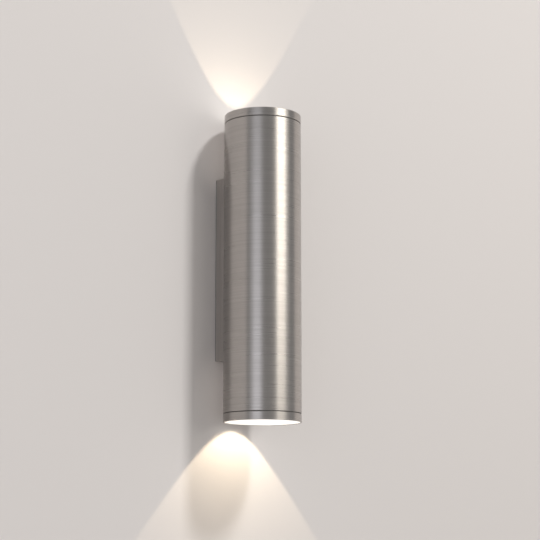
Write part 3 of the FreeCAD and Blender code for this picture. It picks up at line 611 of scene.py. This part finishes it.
def make_tube():
    """The tube, its threaded mouths, the window at its back and its two screw holes."""
    bm = bmesh.new()
    thread_foot = SKIRT_FOOT - THREAD_PITCH
    mouth_foot = TUBE_END - MOUTH_CHAMFER
    root_r = BORE_R + THREAD_DEPTH
    outer = rounded([(TUBE_R - 2 * EDGE_ROUND, -TUBE_END, 0), (TUBE_R, -TUBE_END, EDGE_ROUND),
                     (TUBE_R, TUBE_END, EDGE_ROUND), (TUBE_R - 2 * EDGE_ROUND, TUBE_END, 0)])
    lathe(bm, [(root_r, -TUBE_END)] + outer + [(root_r, TUBE_END)], False)
    lathe(bm, [(root_r, mouth_foot), (root_r, TUBE_END)], False)
    lathe(bm, [(root_r, -TUBE_END), (root_r, -mouth_foot)], False)
    lathe(bm, [(root_r, -thread_foot), (BORE_R, -thread_foot + MOUTH_CHAMFER),
               (BORE_R, thread_foot - MOUTH_CHAMFER), (root_r, thread_foot)], False)
    half = bmesh.new()
    add_thread(half, BORE_R, -THREAD_DEPTH, THREAD_PITCH, thread_foot, mouth_foot,
               ROUND_SEGMENTS, (0, AXIS_Y))
    for turned in (False, True):
        if turned:
            to_lower_end(half)
        mesh = bpy.data.meshes.new("mouth")
        half.to_mesh(mesh)
        bm.from_mesh(mesh)
        bpy.data.meshes.remove(mesh)
    half.free()
    tube = keep("steel_tube", bm, STEEL)
    screw_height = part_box("clinch_nuts")[1].z - CLINCH_NUT_R
    cut_with(tube, [rod_cutter(side * screw_height, TUBE_SCREW_HOLE_R) for side in (-1, 1)]
             + [window_cutter()])
    stand_for(even_normals(tube), "body_tube")


def make_ring(end):
    """Collar, pocket for the lens, ledge under it, and the threaded skirt."""
    bm = bmesh.new()
    root_r = SKIRT_R - THREAD_DEPTH
    thread_top = COLLAR_FOOT - THREAD_PITCH
    profile = rounded([
        (root_r, COLLAR_FOOT, 0), (TUBE_R, COLLAR_FOOT, EDGE_ROUND), (TUBE_R, END, EDGE_ROUND),
        (MOUTH_R, END, 0.15 * MM), (MOUTH_R, SEAL_FOOT, 0), (LEDGE_R, SEAL_FOOT, 0.2 * MM),
        (LEDGE_R, SKIRT_FOOT, 0.2 * MM), (root_r, SKIRT_FOOT, 0)])
    lathe(bm, [(root_r, thread_top)] + profile, False)
    add_thread(bm, SKIRT_R, THREAD_DEPTH, THREAD_PITCH, SKIRT_FOOT, thread_top,
               ROUND_SEGMENTS, (0, AXIS_Y))
    if end == "lower":
        to_lower_end(bm)
    ring = keep(end + "_steel_ring", bm, STEEL)
    stand_for(even_normals(ring), end + "_end_ring")


def make_turned(end, part, profile, material, node):
    """A piece of an end, turned from a (radius, height, rounding) profile."""
    bm = bmesh.new()
    lathe(bm, rounded(profile), closed=profile[0][0] > 0)
    if end == "lower":
        to_lower_end(bm)
    piece = keep(end + "_" + part, bm, material)
    stand_for(even_normals(piece), end + "_" + node)


make_tube()
for end in ("upper", "lower"):
    make_ring(end)
    make_turned(end, "seam_gasket", [
        (BORE_R, TUBE_END, 0), (GASKET_R, TUBE_END, 0.2 * MM),
        (GASKET_R, COLLAR_FOOT, 0.2 * MM), (BORE_R, COLLAR_FOOT, 0)],
        SEAM_SILICONE, "ring_gasket")
    make_turned(end, "glass_lens", [
        (0, LENS_FOOT, 0), (LENS_R, LENS_FOOT, 0.4 * MM), (LENS_R, LENS_TOP, 0.4 * MM),
        (0, LENS_TOP, 0)], LIT_GLASS, "lens")
    make_turned(end, "glass_seal", [
        (SEAL_BORE_R, SEAL_FOOT, 0.1 * MM), (LENS_R, SEAL_FOOT, 0.1 * MM),
        (LENS_R, LENS_FOOT, 0.1 * MM), (SEAL_BORE_R, LENS_FOOT, 0.1 * MM)],
        CLEAR_SILICONE, "lens_seal")


# ---------------------------------------------------------------- pieces with the frame's shape

def bevelled_copy(node, name, material, edge_mm):
    """The node's shape as one clean skin with its edges rounded."""
    bm = bmesh.new()
    bm.from_mesh(frame["nodes"][node].data)
    bmesh.ops.remove_doubles(bm, verts=bm.verts, dist=1e-6)
    bmesh.ops.dissolve_limit(bm, angle_limit=radians(0.5), verts=bm.verts, edges=bm.edges)
    bmesh.ops.recalc_face_normals(bm, faces=bm.faces)
    piece = as_object(name, bm, material)
    piece.data.shade_smooth()
    bevel = piece.modifiers.new("edges", "BEVEL")
    bevel.width, bevel.segments = edge_mm * MM, 2
    bevel.limit_method, bevel.angle_limit = "ANGLE", radians(30)
    settle(piece)
    piece.data.set_sharp_from_angle(angle=SHARP_ANGLE)
    stand_for(even_normals(piece), node)


bevelled_copy("rear_housing", "steel_housing", FLAT_STEEL, 0.35)
bevelled_copy("wall_gasket", "foam_frame", FOAM, 0.2)
bevelled_copy("wall_bracket", "stamped_bracket", ZINC, 0.25)
bevelled_copy("inner_chassis", "stamped_chassis", ZINC, 0.25)
bevelled_copy("clinch_nuts", "pressed_nuts", SCREW, 0.2)
bevelled_copy("lampholder_nuts", "hexagon_nuts", SCREW, 0.2)
bevelled_copy("cable_grommet", "rubber_grommet", SILICONE, 0.5)
bevelled_copy("terminal_block", "moulded_block", BLOCK_PLASTIC, 0.25)
bevelled_copy("terminal_tubes", "drilled_terminals", BRASS, 0.15)
bevelled_copy("earth_tag", "crimped_tag", TINNED, 0.1)
for end in ("upper", "lower"):
    bevelled_copy(end + "_lampholder", end + "_ceramic_holder", CERAMIC, 0.3)
for slot in frame["nodes"]["saddle_gasket"].material_slots:
    slot.material = SILICONE


# ---------------------------------------------------------------- screws

SCREW_SEGMENTS = 32
M3_R, M3_HEAD, M3_HEAD_HIGH, M3_PITCH = 1.5 * MM, 2.75 * MM, 2.0 * MM, 0.5 * MM
M4_R, M4_HEAD, M4_HEAD_HIGH, M4_PITCH = 2.0 * MM, 4.0 * MM, 2.0 * MM, 0.7 * MM
TOWARDS_ROOM, UPSIDE_DOWN = (pi / 2, 0, 0), (0, pi, 0)
HEADLESS_LENGTH, LAMPHOLDER_SCREW_LENGTH = 3 * MM, 17.9 * MM
CLAMP_HEAD, CLAMP_HEAD_HIGH = 1.9 * MM, 1.4 * MM
POLES_ACROSS, CLAMPS_UP = (-7 * MM, 0, 7 * MM), (-4 * MM, 4 * MM)


def box_cutter(size, centre, turn=0.0):
    """A box for a screw's slot."""
    bm = bmesh.new()
    bmesh.ops.create_cube(bm, size=1.0, matrix=Matrix.Translation(centre)
                          @ Matrix.Rotation(turn, 4, "Z") @ Matrix.Diagonal((*size, 1)))
    return keep("slot", bm, SCREW)


def slot_drive(width, depth, top):
    long_enough = 12 * MM
    return [box_cutter((long_enough, width, 2 * depth), (0, 0, top))]


def cross_drive(reach, width, depth, top):
    return [box_cutter((2 * reach, width, 2 * depth), (0, 0, top), turn)
            for turn in (pi / 4, 3 * pi / 4)]


def hexagon_drive(across_flats, depth, top):
    bm = bmesh.new()
    corner = across_flats / 2 / cos(pi / 6)
    bmesh.ops.create_cone(bm, cap_ends=True, segments=6, radius1=corner, radius2=corner,
                          depth=2 * depth, matrix=Matrix.Translation((0, 0, top)))
    return [keep("socket", bm, SCREW)]


def threaded_screw(shank, length, pitch, head, cutters, thread_top):
    """A screw that points down from height 0; head is its outline above the thread."""
    bm = bmesh.new()
    depth = 0.55 * pitch
    root = shank - depth
    tip = -length + depth
    lathe(bm, [(0, -length), (root - depth / 2, -length), (root, tip)], False, SCREW_SEGMENTS, 0)
    add_thread(bm, shank, depth, pitch, tip, thread_top, SCREW_SEGMENTS)
    lathe(bm, rounded([(root, thread_top, 0)] + head), False, SCREW_SEGMENTS, 0)
    return cut_with(keep("screw", bm, SCREW), cutters)


def cheese_head(shank, radius, height):
    return [(shank, 0, 0), (radius, 0, 0.12 * MM), (radius, height, 0.35 * MM), (0, height, 0)]


def m3_cheese_screw(length):
    return threaded_screw(M3_R, length, M3_PITCH, cheese_head(M3_R, M3_HEAD, M3_HEAD_HIGH),
                          slot_drive(width=0.8 * MM, depth=0.9 * MM, top=M3_HEAD_HIGH),
                          thread_top=-0.4 * MM)


def make_lampholder_screws():
    """Long screws that hold each lampholder on its flange."""
    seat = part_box("lampholder_screws")[1].z - M3_HEAD_HIGH
    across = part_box("lampholder_screws")[1].x - M3_HEAD
    places = [((x, AXIS_Y, seat), (0, 0, 0)) for x in (-across, across)]
    places += [((x, AXIS_Y, -seat), UPSIDE_DOWN) for x in (-across, across)]
    screws = copies("cheese_head_screws", m3_cheese_screw(LAMPHOLDER_SCREW_LENGTH), places,
                    SCREW, 2 * pi, 4)
    stand_for(screws, "lampholder_screws")


def make_earth_screw():
    """The screw under the upper flange that holds the earth tag."""
    low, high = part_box("earth_screw")
    middle = (low + high) / 2
    shape = m3_cheese_screw(high.z - low.z - M3_HEAD_HIGH)
    place = ((middle.x, middle.y, low.z + M3_HEAD_HIGH), UPSIDE_DOWN)
    stand_for(copies("tag_screw", shape, [place], SCREW, pi, 2), "earth_screw")


def make_housing_screws():
    """Headless screws with a hexagon socket, flush with the housing's ends."""
    low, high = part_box("housing_screws")
    chamfer = 0.3 * MM
    shape = threaded_screw(
        M3_R, HEADLESS_LENGTH, M3_PITCH, [(M3_R - chamfer, 0, 0), (0, 0, 0)],
        hexagon_drive(across_flats=1.5 * MM, depth=1.4 * MM, top=0), thread_top=-chamfer)
    across, back = high.x - M3_R, high.y - M3_R
    places = [((x, back, high.z), (0, 0, 0)) for x in (-across, across)]
    places += [((x, back, low.z), UPSIDE_DOWN) for x in (-across, across)]
    stand_for(copies("socket_screws", shape, places, SCREW, pi, 7), "housing_screws")


def make_tube_screws():
    """Countersunk screws with a cross recess, driven from the housing's back."""
    low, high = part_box("tube_screws")
    head = [(M4_R, -M4_HEAD_HIGH, 0), (M4_HEAD, -0.15 * MM, 0), (M4_HEAD, 0, 0), (0, 0, 0)]
    shape = threaded_screw(
        M4_R, high.y - low.y, M4_PITCH, head,
        cross_drive(reach=1.9 * MM, width=0.7 * MM, depth=1.5 * MM, top=0),
        thread_top=-M4_HEAD_HIGH - 0.3 * MM)
    height = high.z - M4_HEAD
    places = [((0, high.y, z), (-pi / 2, 0, 0)) for z in (-height, height)]
    stand_for(copies("countersunk_screws", shape, places, SCREW, pi, 5), "tube_screws")


def make_terminal_screws():
    """Two clamping screws in each pole of the terminal block."""
    low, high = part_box("terminal_screws")
    shape = threaded_screw(
        M3_R, high.y - low.y - CLAMP_HEAD_HIGH, M3_PITCH,
        cheese_head(M3_R, CLAMP_HEAD, CLAMP_HEAD_HIGH),
        slot_drive(width=0.6 * MM, depth=0.8 * MM, top=CLAMP_HEAD_HIGH), thread_top=-0.1 * MM)
    places = [((x, low.y + CLAMP_HEAD_HIGH, z), TOWARDS_ROOM)
              for x in POLES_ACROSS for z in CLAMPS_UP]
    stand_for(copies("clamp_screws", shape, places, SCREW, pi, 9), "terminal_screws")


make_lampholder_screws()
make_earth_screw()
make_housing_screws()
make_tube_screws()
make_terminal_screws()


# ---------------------------------------------------------------- lamps

LAMP_FACE, LAMP_FOOT = 133 * MM, 86 * MM
LAMP_R, LAMP_SEAT_R, LAMP_THROAT_R = 25 * MM, 23.4 * MM, 21.8 * MM
LAMP_SEAT, LAMP_RIM_FOOT = 129.4 * MM, 129 * MM
NECK_FOOT, NECK_TOP = 98 * MM, 104 * MM
NECK_R, NECK_BORE_R = 13.65 * MM, 12.05 * MM
NECK_STEP = 1.6 * MM                    # the shell's inside narrows by this at its neck
FINS, FIN_THICK = 24, 1.0 * MM
OPTIC_RIBS, OPTIC_RIB, OPTIC_RIB_DEPTH = 6, 3.2 * MM, 0.5 * MM
BASE_FOOT_R, BASE_R, BASE_TOP_R, BASE_TAPER = 10.2 * MM, 11 * MM, 12 * MM, 2 * MM
PIN_R, PIN_HEAD_R, PIN_HEAD_HIGH, PIN_OFFSET = 1.6 * MM, 2.5 * MM, 3 * MM, 5 * MM


def flare(start, finish, steps=14):
    """An arc in (radius, height) that leaves its start upright and opens to its finish."""
    spread_out, rise = finish[0] - start[0], finish[1] - start[1]
    bend = (spread_out ** 2 + rise ** 2) / (2 * spread_out)
    sweep_angle = 2 * atan2(spread_out, rise)
    return [(start[0] + bend * (1 - cos(sweep_angle * i / steps)),
             start[1] + bend * sin(sweep_angle * i / steps)) for i in range(steps + 1)]


def lamp_fin():
    """One blade between the flared shell and a straight line from neck to rim."""
    inner = flare((NECK_R - 0.3 * MM, NECK_TOP), (LAMP_R - 0.4 * MM, LAMP_RIM_FOOT + 0.2 * MM))
    outer = [(LAMP_R - 0.15 * MM, LAMP_RIM_FOOT + 0.2 * MM),
             (NECK_R + 1.6 * MM, NECK_TOP + 2.2 * MM), (NECK_R + 0.9 * MM, NECK_TOP + 0.4 * MM)]
    bm = bmesh.new()
    sides = [[bm.verts.new((r, y, z)) for r, z in inner + outer]
             for y in (-FIN_THICK / 2, FIN_THICK / 2)]
    for side in sides:
        bm.faces.new(side)
    for i in range(len(sides[0])):
        j = (i + 1) % len(sides[0])
        bm.faces.new((sides[0][i], sides[0][j], sides[1][j], sides[1][i]))
    return keep("fin", bm, LAMP_PLASTIC)


def make_lamp(end):
    """Flared and finned shell, ribbed optic, base and headed pins."""
    fins = copies("fins", lamp_fin(), [((0, AXIS_Y, 0), (0, 0, 2 * pi * i / FINS))
                                       for i in range(FINS)], LAMP_PLASTIC)
    bm = bmesh.new()
    bm.from_mesh(fins.data)
    bpy.data.objects.remove(fins)
    outside = flare((NECK_R, NECK_TOP), (LAMP_R, LAMP_RIM_FOOT))
    inside = flare((NECK_BORE_R - NECK_STEP, NECK_TOP + NECK_STEP), (LAMP_THROAT_R, LAMP_SEAT))
    lathe(bm, outside[:-1] + rounded([
        (LAMP_R, LAMP_RIM_FOOT, 0.4 * MM), (LAMP_R, LAMP_FACE, 0.5 * MM),
        (LAMP_SEAT_R, LAMP_FACE, 0.3 * MM), (LAMP_SEAT_R, LAMP_SEAT, 0)]) + inside[::-1]
        + [(NECK_BORE_R - NECK_STEP, NECK_TOP), (NECK_BORE_R, NECK_TOP)]
        + rounded([(NECK_BORE_R, NECK_FOOT, 0.3 * MM), (NECK_R, NECK_FOOT, 0.5 * MM),
                   (NECK_R, NECK_TOP, 0)])[:-1], segments=96)
    if end == "lower":
        to_lower_end(bm)
    shell = keep(end + "_finned_shell", bm, LAMP_PLASTIC)
    stand_for(even_normals(shell), end + "_lamp_body")
    optic_low, optic_high = (abs(v.z) for v in sorted(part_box(end + "_lamp_front"),
                                                      key=lambda v: abs(v.z)))
    optic_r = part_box(end + "_lamp_front")[1].x
    ribs = [(optic_r, optic_high, 0.3 * MM)]
    for i in range(OPTIC_RIBS, 0, -1):
        ribs += [(OPTIC_RIB * i + OPTIC_RIB / 2, optic_high - OPTIC_RIB_DEPTH, 0.1 * MM),
                 (OPTIC_RIB * i, optic_high, 0.3 * MM)]
    make_turned(end, "ribbed_optic", [(0, optic_low, 0), (optic_r, optic_low, 0.2 * MM)] + ribs
                + [(0, optic_high, 0)], LAMP_OPTIC, "lamp_front")
    make_turned(end, "moulded_base", [
        (0, LAMP_FOOT, 0), (BASE_FOOT_R, LAMP_FOOT, 0.8 * MM),
        (BASE_R, LAMP_FOOT + BASE_TAPER, 1 * MM), (BASE_TOP_R, NECK_TOP, 0.3 * MM),
        (0, NECK_TOP, 0)], LAMP_PLASTIC, "lamp_base")
    pin_low, pin_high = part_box(end + "_lamp_pins")
    tip = min(abs(pin_low.z), abs(pin_high.z))
    root = max(abs(pin_low.z), abs(pin_high.z))
    bm = bmesh.new()
    lathe(bm, rounded([
        (0, tip, 0), (PIN_HEAD_R, tip, 0.5 * MM), (PIN_HEAD_R, tip + PIN_HEAD_HIGH, 0.4 * MM),
        (PIN_R, tip + PIN_HEAD_HIGH, 0.2 * MM), (PIN_R, root, 0.2 * MM), (0, root, 0)]),
        False, 48, 0)
    if end == "lower":
        to_lower_end(bm)
    pins = copies(end + "_headed_pins", keep("pin", bm, TINNED),
                  [((x, AXIS_Y, 0), (0, 0, 0)) for x in (-PIN_OFFSET, PIN_OFFSET)], TINNED)
    stand_for(pins, end + "_lamp_pins")


for end in ("upper", "lower"):
    make_lamp(end)


# ---------------------------------------------------------------- leads

LEAD_R, LEAD_SIDES, BEND_STEPS = 1.0 * MM, 20, 10


def bent_path(corners):
    """Straight runs joined by arcs that touch them."""
    corners = [Vector(p) * MM for p in corners]
    path = [corners[0]]
    for before, corner, after in zip(corners, corners[1:], corners[2:]):
        arriving, leaving = corner - before, after - corner
        reach = 0.45 * min(arriving.length, leaving.length)
        arriving.normalize()
        leaving.normalize()
        turn = arriving.angle(leaving)
        radius = reach / tan(turn / 2)
        centre = corner + (leaving - arriving).normalized() * (radius / cos(turn / 2))
        first = corner - arriving * reach - centre
        side = arriving.cross(leaving).normalized()
        for step in range(BEND_STEPS + 1):
            path.append(centre + Matrix.Rotation(turn * step / BEND_STEPS, 3, side) @ first)
    return path + [corners[-1]]


def sweep(bm, path, stripe):
    """A round lead along a path; stripe says how far round it each point lies."""
    facing = (path[1] - path[0]).to_track_quat("Z", "Y")
    rows = []
    for i, point in enumerate(path):
        ahead = path[min(i + 1, len(path) - 1)] - path[max(i - 1, 0)]
        facing = (facing @ Vector((0, 0, 1))).rotation_difference(ahead) @ facing
        row = []
        for k in range(LEAD_SIDES):
            angle = 2 * pi * k / LEAD_SIDES
            row.append(bm.verts.new(point + facing @ Vector((LEAD_R * cos(angle),
                                                             LEAD_R * sin(angle), 0))))
            row[-1][stripe] = cos(angle)
        rows.append(row)
    for first, second in zip(rows, rows[1:]):
        for k in range(LEAD_SIDES):
            j = (k + 1) % LEAD_SIDES
            bm.faces.new((first[k], first[j], second[j], second[k]))
    bm.faces.new(rows[0])
    bm.faces.new(rows[-1])


def make_leads(name, node, routes, material):
    """Leads along routes written in mm, with y from the tube's axis towards the wall."""
    bm = bmesh.new()
    stripe = bm.verts.layers.float.new("stripe")
    for route in routes:
        sweep(bm, bent_path([(x, y + AXIS_Y / MM, z) for x, y, z in route]), stripe)
    stand_for(keep(name, bm, material), node)


def pair(route):
    return [route, [(-x, y, z) for x, y, z in route]]


make_leads("upper_sleeved_leads", "upper_leads", pair([
    (5, 0, 72.7), (5, 0, 45.2), (5.95, 34.5, 24), (5.95, 34.5, 3.5)]),
    LEAD_SLEEVE)
make_leads("lower_sleeved_leads", "lower_leads", pair([
    (5, 0, -72.7), (5, 0, -45.2), (9.5, 15, -9), (9.5, 15, 24), (8.775, 24.75, 32),
    (8.05, 34.5, 24), (8.05, 34.5, 3.5)]), LEAD_SLEEVE)
make_leads("green_and_yellow_lead", "earth_lead", [[
    (0, 34.5, 3.5), (0, 34.5, 24), (9, 14.5, 45.2), (9, 14.5, 64.4)]],
    EARTH_SLEEVE)


# ---------------------------------------------------------------- wall, floor, lights, camera

def stage_material(name, colour, one_sided=False):
    # Matt emulsion paint on smooth plaster: a pale, even tone with a faint roller texture.
    material, tree, shader = start_material(name, Base_Color=linear(colour), Roughness=0.9,
                                            Specular_IOR_Level=0.2)
    texture(tree, shader, relief=(pattern(tree, (4, 4, 4), Detail=4.0), 0.12, 0.3))
    if one_sided:
        # The wall can't be seen from behind, nor by a ray that starts right on it, so that the
        # light's back and the slit behind the tube aren't dark.
        behind = add(tree, "ShaderNodeNewGeometry").outputs["Backfacing"]
        length = add(tree, "ShaderNodeLightPath").outputs["Ray Length"]
        near = add(tree, "ShaderNodeMath", {0: length, 1: 3 * MM}, operation="LESS_THAN")
        unseen = add(tree, "ShaderNodeMath", {0: behind, 1: near.outputs["Value"]},
                     operation="MAXIMUM")
        clear = add(tree, "ShaderNodeBsdfTransparent")
        mixed = add(tree, "ShaderNodeMixShader", {0: unseen.outputs["Value"],
                                                  1: shader.outputs["BSDF"],
                                                  2: clear.outputs["BSDF"]})
        out = next(node for node in tree.nodes if node.type == "OUTPUT_MATERIAL")
        tree.links.new(mixed.outputs["Shader"], out.inputs["Surface"])
    return material


def stage_plane(name, place, turn, material):
    """A square of wall or floor, on none of the part's bodies."""
    bm = bmesh.new()
    bmesh.ops.create_grid(bm, x_segments=1, y_segments=1, size=STAGE_HALF,
                          matrix=Matrix.Translation(place) @ Euler(turn).to_matrix().to_4x4())
    plane = as_object(name, bm, material)
    return plane


WALL_BEHIND = 0.4 * MM
FLOOR_HEIGHT = -1.3
STAGE_HALF = 5.0
wall = stage_plane("wall", (0, WALL_BEHIND, FLOOR_HEIGHT + STAGE_HALF), (pi / 2, 0, 0),
                   stage_material("painted_plaster", "#D9D4D1", one_sided=True))
wall.visible_diffuse = False
wall.visible_shadow = False
floor = stage_plane("floor", (0, WALL_BEHIND - STAGE_HALF, FLOOR_HEIGHT), (0, 0, 0),
                    stage_material("painted_floor", "#D9D6D3"))

world = bpy.data.worlds.new("studio")
world.use_nodes = True
world.node_tree.nodes["Background"].inputs["Color"].default_value = (1.0, 0.99, 0.98, 1.0)
world.node_tree.nodes["Background"].inputs["Strength"].default_value = 0.35
scene.world = world


def softbox(name, azimuth, distance, width, height, radiance, colour="#FFFFFF", elevation=0.0,
            aim_height=0.0, roll=0.0):
    """A soft area light that faces the tube; azimuth 0 stands straight out from the wall."""
    turn, tilt = radians(azimuth), radians(elevation)
    way = Vector((sin(turn) * cos(tilt), -cos(turn) * cos(tilt), sin(tilt)))
    data = bpy.data.lights.new(name, "AREA")
    data.shape, data.size, data.size_y = "RECTANGLE", width, height
    data.energy = radiance * pi * width * height
    data.color = linear(colour)[:3]
    light = bpy.data.objects.new(name, data)
    light.location = Vector((0, AXIS_Y, aim_height)) + way * distance
    facing = (-way).to_track_quat("-Z", "Y").to_matrix() @ Matrix.Rotation(radians(roll), 3, "Z")
    light.rotation_euler = facing.to_euler()
    light.visible_camera = False
    scene.collection.objects.link(light)
    return light


def wall_light(name, place_mm, turn, half_angle, blend, power, colour):
    """The lit ends' own light where it meets the wall; nothing else takes it."""
    data = bpy.data.lights.new(name, "SPOT")
    data.spot_size, data.spot_blend = radians(2 * half_angle), blend
    data.energy, data.color = power, linear(colour)[:3]
    data.shadow_soft_size = 2 * MM
    light = bpy.data.objects.new(name, data)
    light.location = Vector(place_mm) * MM
    light.rotation_euler = (turn, 0, 0)
    scene.collection.objects.link(light)
    light.light_linking.receiver_collection = wall_only
    light.light_linking.blocker_collection = floor_only


# Two tall softboxes give the tube its bright and its cool stripe, each with a dimmer one round
# it for the soft edge. A card lights the right edge, and a high lamp throws the shadow.
strip = softbox("bright_strip", azimuth=13, distance=1.5, width=0.78, height=1.6,
                radiance=2.9, colour="#FFF8EC", aim_height=0.955, roll=5)
strip.visible_diffuse = False
softbox("bright_strip_skirt", azimuth=16, distance=1.45, width=1.2, height=1.6,
        radiance=0.8, colour="#FFFCF4", aim_height=0.94, roll=5)
softbox("soft_fill", azimuth=-60, distance=1.5, width=0.55, height=1.4,
        radiance=0.54, colour="#F4F6FF", aim_height=-0.18)
softbox("soft_fill_skirt", azimuth=-61, distance=1.45, width=0.95, height=1.4,
        radiance=0.4, colour="#F4F6FF", aim_height=-0.18)
softbox("side_card", azimuth=80, distance=1.5, width=0.8, height=2.2,
        radiance=0.42, colour="#FFF1E6")
key = softbox("high_key", azimuth=20.7, elevation=52, distance=5.0, width=0.7, height=0.7,
              radiance=105.0)
key.visible_glossy = False

wall_only = bpy.data.collections.new("beam_receivers")
wall_only.objects.link(wall)
floor_only = bpy.data.collections.new("beam_blockers")
floor_only.objects.link(floor)
# A beam from each end, with a crisp edge where it meets the wall.
AXIS_MM = AXIS_Y / MM
wall_light("upper_beam", place_mm=(0, AXIS_MM, 94), turn=pi, half_angle=30, blend=0.06,
           power=0.55, colour="#FFEBCB")
wall_light("lower_beam", place_mm=(0, AXIS_MM, -104), turn=0, half_angle=39.4, blend=0.06,
           power=0.8, colour="#FFEBCB")
# Light that the ends throw back into the tube's shadow on the wall.
wall_light("upper_glow", place_mm=(-8, -150, 116), turn=pi / 2, half_angle=18, blend=1.0,
           power=0.17, colour="#FFF6EE")
wall_light("lower_glow", place_mm=(-8, -150, -120), turn=pi / 2, half_angle=18, blend=1.0,
           power=0.13, colour="#FFF6EE")

# The camera that took the photo, from below and from the left, found from the tube's outline.
camera_data = bpy.data.cameras.new("camera")
camera_data.sensor_width = 36.0
camera_data.lens = 104.84
camera = bpy.data.objects.new("camera", camera_data)
camera.location = (-1033.7 * MM, -1123.3 * MM, -272.8 * MM)
camera.rotation_euler = (radians(90 + 10.24), 0, radians(-44))
scene.collection.objects.link(camera)
scene.camera = camera
scene.view_settings.view_transform = "Standard"
